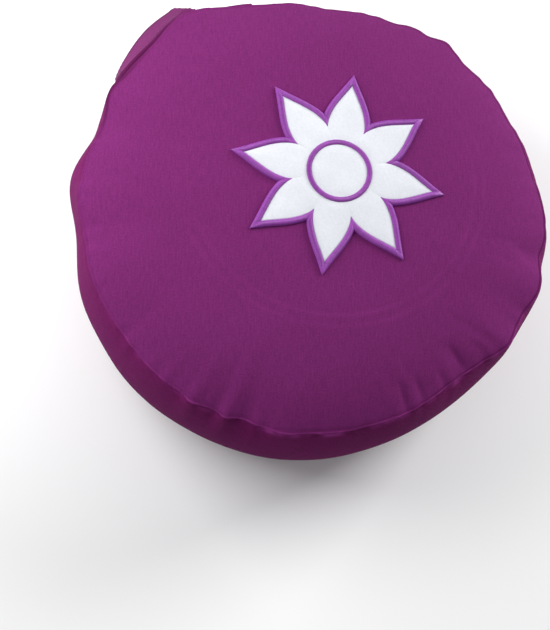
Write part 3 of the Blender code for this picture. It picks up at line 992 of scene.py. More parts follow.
def ring_core(face):
    """The core of the ring in the rosette's middle."""
    base = CLEARANCE + CLOTH_THICKNESS
    columns = []
    for across, up in CORE_SECTION:
        radius = RING_RADIUS + RING_WIDTH * (across - 0.5)
        points = [(radius * math.cos(a), radius * math.sin(a)) for a in around(RING_COUNT)]
        columns.append([face.lay(point, base + RING_HEIGHT * CORE_SHARE * up)[0] for point in points])
    return core_mesh("ring_core", columns)


# A stitch's place: its middle, the way it crosses the line (as long as it is), and up
Rung = namedtuple("Rung", "middle across up")


def clipped_rung(inner, outer):
    """The stretch between two points that lies in the drawn half of the petal, or None."""
    low, high = 0.0, 1.0
    for side in (beside_axis, before_notch):
        a, b = side(inner), side(outer)
        if a < 0.0 and b < 0.0:
            return None
        if a * b < 0.0:
            crossing = a / (a - b)
            low, high = (max(low, crossing), high) if a < 0.0 else (low, min(high, crossing))
    if (high - low) * math.dist(inner, outer) < SHORTEST_RUNG:
        return None
    return [tuple(i + (o - i) * share for i, o in zip(inner, outer)) for share in (low, high)]


def petal_rungs(step):
    """Rungs across the edging of half a petal, in the rosette's plane: mitred at tip and notch."""
    half = 0.5 * EDGING_SPAN
    curve = petal_curve()
    middle = move_left(curve, [EDGING_COVERS - half] * len(curve))
    length = sum(math.dist(a, b) for a, b in zip(middle, middle[1:]))
    middle = evenly(middle, round(length / step))
    inner = move_left(middle, [half] * len(middle))
    outer = move_left(middle, [-half] * len(middle))
    rungs = [clipped_rung(*ends) for ends in zip(inner, outer)]
    return [rung for rung in rungs if rung]


def laid_rung(face, inner, outer, lift):
    """A rung between two points of the rosette's plane, laid on the face."""
    near, far = face.lay(inner, lift)[0], face.lay(outer, lift)[0]
    middle = tuple(0.5 * (a + b) for a, b in zip(inner, outer))
    on, up = face.lay(middle, lift)
    return Rung(on, far - near, up)


def edging_lines(face, step):
    """Lines of rungs round the whole rosette, two for each petal."""
    lines = []
    half = petal_rungs(step)
    for number in range(PETALS):
        turn = ROSETTE_TURN + TURN * number / PETALS
        for mirror in (1.0, -1.0):
            lines.append([
                laid_rung(face, *(turned((x, mirror * y), turn) for x, y in rung), CLEARANCE)
                for rung in half])
    return lines


def ring_lines(face, step):
    """One closed line of rungs round the inner ring."""
    count = round(TURN * RING_RADIUS / step)
    line = []
    for angle in np.append(around(count), TURN - RING_END_GAP):
        ends = [turned((RING_RADIUS + side * 0.5 * RING_WIDTH, 0.0), angle) for side in (-1.0, 1.0)]
        line.append(laid_rung(face, *ends, CLEARANCE + CLOTH_THICKNESS))
    return [line]


def strap_rungs(down_row, alongs, stitch):
    """Rungs along a row on the strap's outer side, each as long as a stitch."""
    points = [Vector(strap_line(along, 1.0)[down_row]) for along in alongs]
    beneath = [Vector(strap_line(along, 0.0)[down_row]) for along in alongs]
    line = []
    for i, point in enumerate(points):
        way = points[min(i + 1, len(points) - 1)] - points[max(i - 1, 0)]
        line.append(Rung(point, way.normalized() * stitch, (point - beneath[i]).normalized()))
    return line


def strap_cross_rungs(along, stitch):
    """Rungs along a row across the strap, each as long as a stitch."""
    outer, inner = strap_line(along, 1.0), strap_line(along, 0.0)
    line = []
    for i in range(STRAP_ROW, STRAP_ACROSS - STRAP_ROW):
        way = Vector(outer[i + 1]) - Vector(outer[i - 1])
        up = Vector(outer[i]) - Vector(inner[i])
        line.append(Rung(Vector(outer[i]), way.normalized() * stitch, up.normalized()))
    return line


def strap_lines(stitch):
    """Two rows along the strap and two across each of its sewn ends."""
    alongs = np.linspace(-STRAP_SEWN_ROWS[-1], STRAP_SEWN_ROWS[-1], STRAP_STATIONS)
    rows = (STRAP_ROW, STRAP_ACROSS - 1 - STRAP_ROW)
    lines = [strap_rungs(row, alongs, stitch) for row in rows]
    for along in STRAP_SEWN_ROWS:
        lines += [strap_cross_rungs(side * along, stitch) for side in (-1.0, 1.0)]
    return lines


# ---------------------------------------------------------------- node trees

class Wire:
    """A socket that takes part in Python expressions: each step adds a Math node."""

    def __init__(self, graph, socket):
        self.graph = graph
        self.socket = socket

    def math(self, operation, *others):
        return self.graph.node("ShaderNodeMath", {"operation": operation}, dict(enumerate((self, *others))))

    def __add__(self, other):
        return self.math("ADD", other)

    def __sub__(self, other):
        return self.math("SUBTRACT", other)

    def __rsub__(self, other):
        return self.graph.node("ShaderNodeMath", {"operation": "SUBTRACT"}, {0: other, 1: self})

    def __mul__(self, other):
        return self.math("MULTIPLY", other)

    def __truediv__(self, other):
        return self.math("DIVIDE", other)

    def __pow__(self, other):
        return self.math("POWER", other)

    def __abs__(self):
        return self.math("ABSOLUTE")

    __radd__ = __add__
    __rmul__ = __mul__

    def sine(self):
        return self.math("SINE")

    def above(self, limit):
        """1 where the value is over the limit, and 0 elsewhere."""
        return self.math("GREATER_THAN", limit)

    def at_least(self, floor):
        return self.math("MAXIMUM", floor)

    def hump(self, middle, width):
        """1 where the value is middle, falling evenly to 0 at width from it."""
        return (1.0 - abs(self - middle) / width).at_least(0.0)

    def ramp(self, start, width):
        """0 up to start, rising evenly to 1 at width past it."""
        return (1.0 - (1.0 - (self - start) / width).at_least(0.0)).at_least(0.0)

    def patches(self, start, steepness):
        """0 where the value is under start, then rising by steepness."""
        return ((self - start) * steepness).at_least(0.0)


class Graph:
    """Adds nodes to a tree; what a node gives is a Wire."""

    def __init__(self, tree):
        self.tree = tree

    def node(self, kind, settings=(), sockets=(), output=0):
        """One node of a type: its settings first, then the values or wires of its sockets."""
        made = self.tree.nodes.new(kind)
        for name, value in dict(settings).items():
            setattr(made, name, value)
        for name, value in dict(sockets).items():
            if isinstance(value, Wire):
                self.tree.links.new(value.socket, made.inputs[name])
            else:
                made.inputs[name].default_value = value
        return Wire(self, made.outputs[output]) if len(made.outputs) else made

    def mix(self, share, plain, other):
        """A colour between two, by a share from 0 to 1."""
        return self.node(
            "ShaderNodeMix", {"data_type": "RGBA", "clamp_factor": True}, {0: share, 6: plain, 7: other}, 2)

    def scaled(self, vector, factors):
        """A vector with each of its numbers multiplied."""
        return self.node("ShaderNodeVectorMath", {"operation": "MULTIPLY"}, {0: vector, 1: factors})

    def cloud(self, vector, size, detail=2.0, roughness=0.5):
        """Noise from 0 to 1 whose grains are about as large as size, in the vector's units."""
        sockets = {"Vector": vector, "Scale": 1.0 / size, "Detail": detail, "Roughness": roughness}
        return self.node("ShaderNodeTexNoise", {"noise_dimensions": "3D"}, sockets)

    def carried(self, name):
        """A number that the mesh carries in an attribute."""
        return self.node("ShaderNodeAttribute", {"attribute_name": name}, (), "Fac")

    def place(self):
        """Where the point is, in the piece's own coordinates."""
        return self.node("ShaderNodeTexCoord", (), (), "Object")

    def split(self, vector):
        """A vector's first and second number."""
        first = self.node("ShaderNodeSeparateXYZ", (), {0: vector})
        return first, Wire(self, first.socket.node.outputs[1])


def srgb(red, green, blue):
    """An sRGB colour as a linear one."""
    return tuple(c / 12.92 if c <= 0.04045 else ((c + 0.055) / 1.055) ** 2.4 for c in (red, green, blue))


def shade(colour, factor):
    """A colour made lighter or darker, as four numbers."""
    return (*(min(c * factor, 1.0) for c in colour), 1.0)


SHEEN_ROUGHNESS = 0.45


def finish_graph(name, roughness, sheen=0.0, sheen_tint=(1.0, 1.0, 1.0), specular=0.5):
    """A new material, its graph and its shader, with what is the same all over set on it."""
    material = bpy.data.materials.new(name)
    material.use_nodes = True
    shader = material.node_tree.nodes["Principled BSDF"]
    values = {
        "Roughness": roughness,
        "Sheen Weight": sheen,
        "Sheen Roughness": SHEEN_ROUGHNESS,
        "Sheen Tint": (*sheen_tint, 1.0),
        "Specular IOR Level": specular,
    }
    for socket, value in values.items():
        shader.inputs[socket].default_value = value
    return material, Graph(material.node_tree), shader


def feed(graph, shader, name, wire):
    """Link a wire to one of the shader's sockets."""
    graph.tree.links.new(wire.socket, shader.inputs[name])


def plain_weave(across, along, pitch):
    """Height from 0 to 1 of a plain weave whose threads lie a pitch apart both ways."""
    warp = (across * (math.pi / pitch)).sine()
    weft = (along * (math.pi / pitch)).sine()
    warp_on_top = (warp * weft).above(0.0)
    warp_width, weft_width = abs(warp), abs(weft)
    warp_crown = warp_width * weft_width ** 0.5
    weft_crown = weft_width * warp_width ** 0.5
    return weft_crown + (warp_crown - weft_crown) * warp_on_top


# Yarns: how many pitches they wander and over what length, and how thick the slubs are both ways
WANDER_PITCHES = 1.2
WANDER_SIZE = 0.012
UPRIGHT_SLUB = 0.0012
UPRIGHT_STRETCH = (1.0, 0.14, 1.0)
UPRIGHT_SHARE = 0.65
LEVEL_SLUB = 0.0009
LEVEL_STRETCH = (0.20, 1.0, 1.0)


def woven(graph, pitch, turn=0.0):
    """The turned UV map, and the weave's height and its threads' unevenness, both 0 to 1."""
    uv = graph.node("ShaderNodeUVMap", {"uv_map": "weave"})
    uv = graph.node("ShaderNodeMapping", (), {"Vector": uv, "Rotation": (0.0, 0.0, turn)})
    across, along = graph.split(uv)
    drift = (graph.cloud(uv, WANDER_SIZE, 1.0) - 0.5) * (WANDER_PITCHES * pitch)
    height = plain_weave(across + drift, along - drift, pitch)
    upright = graph.cloud(graph.scaled(uv, UPRIGHT_STRETCH), UPRIGHT_SLUB, 2.0, 0.6)
    level = graph.cloud(graph.scaled(uv, LEVEL_STRETCH), LEVEL_SLUB, 2.0, 0.6)
    threads = upright * UPRIGHT_SHARE + level * (1.0 - UPRIGHT_SHARE)
    return uv, height, threads


def tone_of(*swings):
    """A tone about 0.5 that each (number from 0 to 1, share) raises and lowers."""
    return sum(((number - 0.5) * share for number, share in swings), 0.5)


def bumped(graph, height, distance, strength):
    """A normal that follows a height: its full distance in metres, and how much of it shows."""
    return graph.node("ShaderNodeBump", (), {"Height": height, "Distance": distance, "Strength": strength})


# Faint double ring that an embroidery hoop left on the face
HOOP_X = 0.017
HOOP_Y = 0.009
HOOP_RADII = (0.1100, 0.1025)
HOOP_WIDTH = 0.0026
HOOP_TOWARDS_DEG = -98.0      # where it shows most, from its middle
HOOP_EVEN = 0.45              # how much it shows level with its middle
HOOP_PATCH = 0.030
HOOP_START = 0.2
HOOP_STEEPNESS = 2.0


def hoop_mark(graph):
    """0 to 1 on the hoop's mark, strongest on one side."""
    place = graph.place()
    x, y = graph.split(place)
    x, y = x - HOOP_X, y - HOOP_Y
    radius = (x * x + y * y) ** 0.5
    way = math.radians(HOOP_TOWARDS_DEG)
    side = (x * math.cos(way) + y * math.sin(way)) / HOOP_RADII[0]
    rings = radius.hump(HOOP_RADII[0], HOOP_WIDTH) + radius.hump(HOOP_RADII[1], HOOP_WIDTH)
    shown = (HOOP_EVEN + (1.0 - HOOP_EVEN) * side).at_least(0.0)
    return rings * shown * graph.cloud(place, HOOP_PATCH, 3.0).patches(HOOP_START, HOOP_STEEPNESS)


# Where the seam's worn edge with its painted highlight and the painted shade of its fold show most, and
# the worn, highlighted patches: how long they are, and where their cloud starts and how steeply it rises
WEAR_AND_HIGHLIGHT_TOWARDS_DEG = 242.0
FOLD_TOWARDS_DEG = 300.0
WEAR_AND_HIGHLIGHT_PATCH = 0.010
LIP_PATCH = 0.016
WEAR_AND_HIGHLIGHT_START = 0.42
WEAR_AND_HIGHLIGHT_STEEPNESS = 5.0
SEAM_WEAR_AND_HIGHLIGHT = 0.7               # how much wear and painted highlight the seam and the lip get, and how much of the hoop's mark shows
LIP_WEAR_AND_HIGHLIGHT = 0.5
HOOP_WEAR = 0.16
WEAR_AND_HIGHLIGHT_SHADE = 1.9              # colour of the worn cloth with its painted highlight, times the face's
POCKET_SHADE = 0.9            # how dark the painted shade is in the places that the light doesn't reach
TURNED_SHADE = 0.75
FOLD_SHADE_LEAST = 0.08
DARK_SHADE = 0.5              # the painted shade's colour, times the band's


def towards(graph, place, at_deg):
    """From -1 to 1 across the cushion, 1 at its rim at an angle."""
    x, y = graph.split(place)
    return (x * math.cos(math.radians(at_deg)) + y * math.sin(math.radians(at_deg))) / SEAM_RADIUS


def wear_and_highlight_edge(graph, place, seam, lip):
    """0 to 1 on the stretches of the seam, and of the band's lip under it, that are lighter: worn, and with
    a painted highlight.
    """
    side = (towards(graph, place, WEAR_AND_HIGHLIGHT_TOWARDS_DEG) * 1.5 - 0.35).at_least(0.0)
    on_seam = graph.cloud(place, WEAR_AND_HIGHLIGHT_PATCH, 3.0, 0.6).patches(WEAR_AND_HIGHLIGHT_START, WEAR_AND_HIGHLIGHT_STEEPNESS)
    on_lip = graph.cloud(place, LIP_PATCH, 2.0).patches(WEAR_AND_HIGHLIGHT_START, WEAR_AND_HIGHLIGHT_STEEPNESS)
    return side * (seam * on_seam * SEAM_WEAR_AND_HIGHLIGHT + lip * on_lip * LIP_WEAR_AND_HIGHLIGHT)


# Both purple cottons: the tint of their fuzz, their faint shine and the bump of their weave
FUZZ_TINT = (0.80, 0.50, 0.76)
COTTON_SPECULAR = 0.05
COTTON_BUMP = 0.00022
COTTON_BUMP_SHARE = 0.8


def purple_finish(name, cover):
    """A new cotton material, its graph and its shader, with the fuzz that both cottons have."""
    return finish_graph(name, 0.9, cover.sheen, srgb(*FUZZ_TINT), COTTON_SPECULAR)


def feed_purple(graph, shader, colour, threads, height):
    """Link what varies over a purple cotton: its colour, its roughness and the bump of its height."""
    feed(graph, shader, "Base Color", colour)
    feed(graph, shader, "Roughness", 0.94 - 0.12 * threads)
    feed(graph, shader, "Normal", bumped(graph, height, COTTON_BUMP, COTTON_BUMP_SHARE))


def cover_cotton(cover):
    """Dyed cotton of face and band: the band darker as painted shade, painted shade in the seam's folds,
    behind the strap and where the cloth turns down, wear with a painted highlight on the seam and its lip,
    and the hoop's mark.
    """
    material, graph, shader = purple_finish("cover_cotton", cover)
    uv, weave, threads = woven(graph, cover.weave_pitch, cover.grain_turn)
    place = graph.place()
    wash = graph.cloud(place, 0.060, 3.0)
    speckle = graph.cloud(uv, 0.0012, 1.0, 0.6)
    hoop = hoop_mark(graph)
    tone = tone_of((threads, 1.6), (wash, 0.35), (speckle, 1.1), (weave, 0.3))
    face = graph.mix(tone, shade(cover.colour, 0.80), shade(cover.colour, 1.20))
    # The band and the underside take a darker copy of the face's cotton: painted shade.
    side = graph.mix(tone, shade(cover.band_colour_with_painted_shade, 0.72), shade(cover.band_colour_with_painted_shade, 1.28))
    colour = graph.mix(graph.carried("band"), face, side)
    # Painted shade: in the seam's fold, strongest on one side, behind the strap and where the cloth turns
    # down.
    fold_shade_side = (0.25 + 0.5 * towards(graph, place, FOLD_TOWARDS_DEG)).at_least(FOLD_SHADE_LEAST)
    painted_shade = graph.carried("fold") * fold_shade_side + graph.carried("pocket") * POCKET_SHADE
    painted_shade = painted_shade + graph.carried("turned") * TURNED_SHADE
    colour = graph.mix(painted_shade, colour, shade(cover.band_colour_with_painted_shade, DARK_SHADE))
    # Wear with a painted highlight on the seam and its lip, and the hoop's mark, make the colour lighter.
    wear_and_highlight = wear_and_highlight_edge(graph, place, graph.carried("seam"), graph.carried("lip")) + hoop * HOOP_WEAR
    colour = graph.mix(wear_and_highlight, colour, shade(cover.colour, WEAR_AND_HIGHLIGHT_SHADE))
    height = weave * 0.55 + threads * 0.6 + speckle * 0.15 + hoop * 0.8
    feed_purple(graph, shader, colour, threads, height)
    return material


def strap_cotton(strap, cover):
    """The strap's cotton, with painted shade along its upper edge beside the rim and at its sewn ends."""
    material, graph, shader = purple_finish("strap_cotton", cover)
    uv, weave, threads = woven(graph, cover.weave_pitch)
    wash = graph.cloud(graph.place(), 0.025, 3.0)
    tone = tone_of((threads, 1.2), (wash, 0.6), (weave, 0.3))
    colour = graph.mix(tone, shade(strap.colour, 0.80), shade(strap.colour, 1.20))
    along, across = graph.split(uv)
    # Painted shade along the upper edge beside the rim and at the sewn ends.
    below_edge = STRAP_WIDTH - abs(across - STRAP_WIDTH)
    edge_shade = (1.0 - below_edge / STRAP_EDGE_SHADE).at_least(0.0)
    edge_shade = edge_shade * along.ramp(STRAP_SHADE_FROM, STRAP_SHADE_FADE)
    end_shade = 1.0 - (0.5 * STRAP_LENGTH - abs(along)) / STRAP_END_SHADE
    shaded = edge_shade.at_least(end_shade) * 0.8
    colour = graph.mix(shaded, colour, shade(cover.band_colour_with_painted_shade, 0.6))
    feed_purple(graph, shader, colour, threads, weave * 0.55 + threads * 0.6)
    return material


def white_cotton(rosette):
    """The rosette's cotton, a little crumpled and speckled."""
    material, graph, shader = finish_graph("white_cotton", 0.82, 0.15, (1.0, 1.0, 1.0), 0.3)
    uv, weave, threads = woven(graph, rosette.weave_pitch, rosette.grain_turn)
    wash = graph.cloud(uv, 0.022, 3.0)
    speckle = graph.cloud(uv, 0.0016, 2.0, 0.6)
    tone = tone_of((threads, 0.9), (wash, 0.9), (weave, 0.3), (speckle, 1.2))
    colour = graph.mix(tone, shade(rosette.cloth_colour, 0.90), shade(rosette.cloth_colour, 1.06))
    feed(graph, shader, "Base Color", colour)
    feed(graph, shader, "Roughness", 0.90 - 0.14 * threads)
    height = weave * 0.5 + threads * 0.5 + wash * 1.2
    feed(graph, shader, "Normal", bumped(graph, height, 0.00016, 0.7))
    return material


def satin_thread(name, colour, roughness):
    """Shiny thread, each one a little lighter or darker, with a fine ply along it."""
    material, graph, shader = finish_graph(name, roughness, 0.1, colour, 0.6)
    ply = graph.cloud(graph.place(), 0.00022, 1.0)
    wear = graph.cloud(graph.place(), 0.012, 2.0)
    tone = tone_of((graph.carried("shade"), 0.5), (ply, 0.4), (wear, 0.5))
    feed(graph, shader, "Base Color", graph.mix(tone, shade(colour, 0.78), shade(colour, 1.22)))
    feed(graph, shader, "Roughness", roughness + (wear - 0.5) * 0.2)
    feed(graph, shader, "Normal", bumped(graph, ply, 0.00006, 0.6))
    return material


def floor_finish(stage):
    """The floor's plain matt finish."""
    material, graph, shader = finish_graph("pale_floor", 0.9, specular=0.1)
    wash = graph.cloud(graph.place(), 0.6, 2.0)
    colour = graph.mix(wash, shade(stage.floor_colour, 0.985), shade(stage.floor_colour, 1.0))
    feed(graph, shader, "Base Color", colour)
    return material


def named_vector(graph, name):
    """A vector that the lines of rungs carry."""
    return graph.node("GeometryNodeInputNamedAttribute", {"data_type": "FLOAT_VECTOR"}, {"Name": name})


# Inputs of the tree that lays threads: name, kind of socket
THREAD_INPUTS = (
    ("Pitch", "NodeSocketFloat"),
    ("Length", "NodeSocketFloat"),
    ("Width", "NodeSocketFloat"),
    ("Rise", "NodeSocketFloat"),
    ("Unevenness", "NodeSocketFloat"),
    ("Seed", "NodeSocketInt"),
    ("Core", "NodeSocketObject"),
    ("Material", "NodeSocketMaterial"),
)
THREAD_BENDS = 6
THREAD_SIDES = 5
THREAD_LEAN = 0.92            # where the arch's handles stand, as a share of half its length
THREAD_LEAST_RISE = 0.45      # share of its rise that the shortest thread keeps


def thread_tree():
    """A tree that lays arched threads along lines of rungs, over an optional core."""
    tree = bpy.data.node_groups.new("laid_threads", "GeometryNodeTree")
    tree.interface.new_socket("Geometry", in_out="INPUT", socket_type="NodeSocketGeometry")
    for name, kind in THREAD_INPUTS:
        tree.interface.new_socket(name, in_out="INPUT", socket_type=kind)
    tree.interface.new_socket("Geometry", in_out="OUTPUT", socket_type="NodeSocketGeometry")
    graph = Graph(tree)
    given = tree.nodes.new("NodeGroupInput")
    names = ("Geometry", *(name for name, _ in THREAD_INPUTS))
    inputs = {name: Wire(graph, given.outputs[name]) for name in names}
    lines = graph.node("GeometryNodeMeshToCurve", (), {"Mesh": inputs["Geometry"]})
    stations = graph.node(
        "GeometryNodeResampleCurve", {"mode": "LENGTH"}, {"Curve": lines, "Length": inputs["Pitch"]})
    half = inputs["Length"] * 0.5
    # The top of a cubic arch stands at three quarters of its handles' height
    reach = inputs["Rise"] * (4.0 / 3.0)

    def corner(x, z):
        return graph.node("ShaderNodeCombineXYZ", (), {"X": x, "Z": z})

    arch = graph.node("GeometryNodeCurvePrimitiveBezierSegment", {"mode": "POSITION"}, {
        "Resolution": THREAD_BENDS,
        "Start": corner(half * -1.0, 0.0),
        "Start Handle": corner(half * -THREAD_LEAN, reach),
        "End Handle": corner(half * THREAD_LEAN, reach),
        "End": corner(half, 0.0),
    })
    section = graph.node("GeometryNodeCurvePrimitiveCircle", {"mode": "RADIUS"}, {
        "Resolution": THREAD_SIDES, "Radius": inputs["Width"] * 0.5})
    thread = graph.node("GeometryNodeCurveToMesh", (), {
        "Curve": arch, "Profile Curve": section, "Fill Caps": True})
    across = named_vector(graph, "across")
    up = named_vector(graph, "up")
    turn = graph.node("FunctionNodeAxesToRotation", {"primary_axis": "Z", "secondary_axis": "X"}, {
        "Primary Axis": up, "Secondary Axis": across})
    reach_across = graph.node("ShaderNodeVectorMath", {"operation": "LENGTH"}, {0: across}, "Value")
    share = reach_across / inputs["Length"]

    def scatter(offset):
        """A number from -1 to 1 for each thread, times the unevenness."""
        draw = graph.node("FunctionNodeRandomValue", {"data_type": "FLOAT"}, {
            2: -1.0, 3: 1.0, "Seed": inputs["Seed"] + offset}, 1)
        return draw * inputs["Unevenness"]

    rise = THREAD_LEAST_RISE + (1.0 - THREAD_LEAST_RISE) * share
    size = graph.node("ShaderNodeCombineXYZ", (), {
        "X": share * (1.0 + scatter(1)),
        "Y": 1.0,
        "Z": rise * (1.0 + scatter(2)),
    })
    threads = graph.node("GeometryNodeInstanceOnPoints", (), {
        "Points": stations, "Instance": thread, "Rotation": turn, "Scale": size})
    own = graph.node("FunctionNodeRandomValue", {"data_type": "FLOAT"}, {"Seed": inputs["Seed"]}, 1)
    threads = graph.node(
        "GeometryNodeStoreNamedAttribute", {"data_type": "FLOAT", "domain": "INSTANCE"},
        {"Geometry": threads, "Name": "shade", "Value": own})
    threads = graph.node("GeometryNodeRealizeInstances", (), {0: threads})
    core = graph.node("GeometryNodeObjectInfo", (), {"Object": inputs["Core"]}, "Geometry")
    joined = tree.nodes.new("GeometryNodeJoinGeometry")
    for part in (core, threads):
        tree.links.new(part.socket, joined.inputs[0])
    smooth = graph.node("GeometryNodeSetShadeSmooth", (), {0: Wire(graph, joined.outputs[0])})
    painted = graph.node("GeometryNodeSetMaterial", (), {0: smooth, "Material": inputs["Material"]})
    out = tree.nodes.new("NodeGroupOutput")
    tree.links.new(painted.socket, out.inputs[0])
    return tree


def rung_mesh(name, lines):
    """Edges through the rungs' middles, with each rung's across and up as attributes."""
    vertices = [rung.middle for line in lines for rung in line]
    edges, start = [], 0
    for line in lines:
        edges += [(start + i, start + i + 1) for i in range(len(line) - 1)]
        start += len(line)
    mesh = bpy.data.meshes.new(name)
    mesh.from_pydata(vertices, edges, [])
    for column in ("across", "up"):
        values = np.array([getattr(rung, column) for line in lines for rung in line], np.float32)
        mesh.attributes.new(column, "FLOAT_VECTOR", "POINT").data.foreach_set("vector", values.ravel())
    return mesh


def lay_threads(name, lines, material, core=None, **sizes):
    """A piece of threads laid on lines of rungs by the thread tree, as a plain mesh."""
    tree = bpy.data.node_groups.get("laid_threads") or thread_tree()
    source = linked(name + "_lines", rung_mesh(name + "_lines", lines))
    below = None if core is None else linked(name + "_core", core)
    values = {"Core": below, "Material": material, **sizes}
    modifier = source.modifiers.new("threads", "NODES")
    modifier.node_group = tree
    for item in tree.interface.items_tree:
        if item.in_out == "INPUT" and item.name in values:
            modifier[item.identifier] = values[item.name]
    depsgraph = bpy.context.evaluated_depsgraph_get()
    mesh = bpy.data.meshes.new_from_object(
        source.evaluated_get(depsgraph), preserve_all_data_layers=True, depsgraph=depsgraph)
    source.modifiers.clear()
    bpy.data.objects.remove(source)
    if below is not None:
        bpy.data.objects.remove(below)
    return add_piece(name, mesh)


def add_piece(name, mesh, material=None):
    """A named object at the origin that rides with the cushion."""
    mesh.name = name
    if material is not None:
        mesh.materials.clear()
        mesh.materials.append(material)
    piece = linked(name, mesh)
    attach(piece, BODY)
    return piece


# ---------------------------------------------------------------- settings

class CoverSettings(bpy.types.PropertyGroup):
    """Cover of the cushion."""

    colour: bpy.props.FloatVectorProperty(
        name="Cotton", description="Colour of the face", subtype="COLOR", size=3,
        default=(0.162, 0.0190, 0.126), min=0.0, max=1.0)
    # The band's colour is the face's cotton made darker: painted shade.
    band_colour_with_painted_shade: bpy.props.FloatVectorProperty(
        name="Band", description="Colour of the band and the underside", subtype="COLOR", size=3,
        default=(0.125, 0.0077, 0.078), min=0.0, max=1.0)
    sheen: bpy.props.FloatProperty(
        name="Sheen", description="Soft fuzz of the cotton at grazing angles",
        default=0.03, min=0.0, max=1.0, subtype="FACTOR")
    weave_pitch: bpy.props.FloatProperty(
        name="Thread spacing", description="From one thread of the weave to the next",
        default=0.00072, min=0.0002, unit="LENGTH", precision=5)
    grain_turn: bpy.props.FloatProperty(
        name="Grain", description="Turn of the face's weave", default=math.radians(37.0), subtype="ANGLE")
    ridge: bpy.props.FloatProperty(
        name="Seam ridge", description="Height of the fine ridge along the seams",
        default=RIDGE, min=0.0, unit="LENGTH", precision=5)
    gathers: bpy.props.FloatProperty(
        name="Gathers", description="Strength of the fine gathering beside the seams", default=1.0, min=0.0)
    lumps: bpy.props.FloatProperty(
        name="Lumps", description="Strength of the filling's unevenness", default=1.0, min=0.0)
    fill: bpy.props.FloatProperty(
        name="Fill", description="How full the cushion is, from slack to tight",
        default=0.8, min=0.0, max=1.0, subtype="FACTOR")
    settle: bpy.props.BoolProperty(
        name="Settle", description="Let a cloth simulation press the filling into the cover", default=True)
    settle_cap: bpy.props.FloatProperty(
        name="Furthest move", description="The most that the simulation may move a point",
        default=0.003, min=0.0, unit="LENGTH")


class StrapSettings(bpy.types.PropertyGroup):
    """Carry handle."""

    colour: bpy.props.FloatVectorProperty(
        name="Cotton", description="Colour of the strap", subtype="COLOR", size=3,
        default=(0.155, 0.022, 0.112), min=0.0, max=1.0)
    thread_colour: bpy.props.FloatVectorProperty(
        name="Sewing thread", description="Colour of its stitches", subtype="COLOR", size=3,
        default=(0.140, 0.017, 0.104), min=0.0, max=1.0)
    stitch: bpy.props.FloatProperty(
        name="Stitch", description="Length of one stitch",
        default=0.0026, min=0.001, unit="LENGTH", precision=4)
    stitch_pitch: bpy.props.FloatProperty(
        name="Stitch spacing", description="From one stitch to the next",
        default=0.0033, min=0.001, unit="LENGTH", precision=4)


class RosetteSettings(bpy.types.PropertyGroup):
    """Applied rosette and its stitched lines."""

    cloth_colour: bpy.props.FloatVectorProperty(
        name="Cloth", description="Colour of the rosette's cloth", subtype="COLOR", size=3,
        default=(0.675, 0.69, 0.735), min=0.0, max=1.0)
    thread_colour: bpy.props.FloatVectorProperty(
        name="Satin thread", description="Colour of the stitched lines", subtype="COLOR", size=3,
        default=(0.29, 0.046, 0.37), min=0.0, max=1.0)
    thread_pitch: bpy.props.FloatProperty(
        name="Thread spacing", description="From one satin stitch to the next",
        default=0.00046, min=0.0002, unit="LENGTH", precision=5)
    thread_width: bpy.props.FloatProperty(
        name="Thread width", description="Width of one satin stitch",
        default=0.00050, min=0.0001, unit="LENGTH", precision=5)
    weave_pitch: bpy.props.FloatProperty(
        name="Weave", description="From one thread of the cloth to the next",
        default=0.00055, min=0.0002, unit="LENGTH", precision=5)
    grain_turn: bpy.props.FloatProperty(
        name="Grain", description="Turn of the cloth's weave", default=math.radians(12.0), subtype="ANGLE")
    puff: bpy.props.FloatProperty(
        name="Puff", description="How far the cloth stands up between its stitched lines",
        default=CLOTH_PUFF, min=0.0, unit="LENGTH", precision=5)


class StageSettings(bpy.types.PropertyGroup):
    """Floor, light and camera."""

    floor_colour: bpy.props.FloatVectorProperty(
        name="Floor", description="Colour of the floor", subtype="COLOR", size=3,
        default=(0.93, 0.93, 0.93), min=0.0, max=1.0)
    ambient: bpy.props.FloatProperty(
        name="Ambient", description="Strength of the even light from all round", default=0.36, min=0.0)
    key_power: bpy.props.FloatProperty(
        name="Key lamp", description="Power of the large lamp", default=30.5, min=0.0, subtype="POWER")
    side_power: bpy.props.FloatProperty(
        name="Side lamp", description="Power of the low lamp at the side",
        default=5.0, min=0.0, subtype="POWER")
    camera_at: bpy.props.FloatVectorProperty(
        name="Camera", description="Where the camera stands", subtype="TRANSLATION", unit="LENGTH", size=3,
        default=(-0.2785, -0.1544, 0.8901))
    camera_turn: bpy.props.FloatVectorProperty(
        name="Camera turn", description="How the camera is turned", subtype="EULER", size=3,
        default=tuple(math.radians(a) for a in (14.569, -7.752, -35.490)))
    lens: bpy.props.FloatProperty(
        name="Lens", description="Focal length, in millimetres", default=67.93, min=1.0)


# ---------------------------------------------------------------- operators

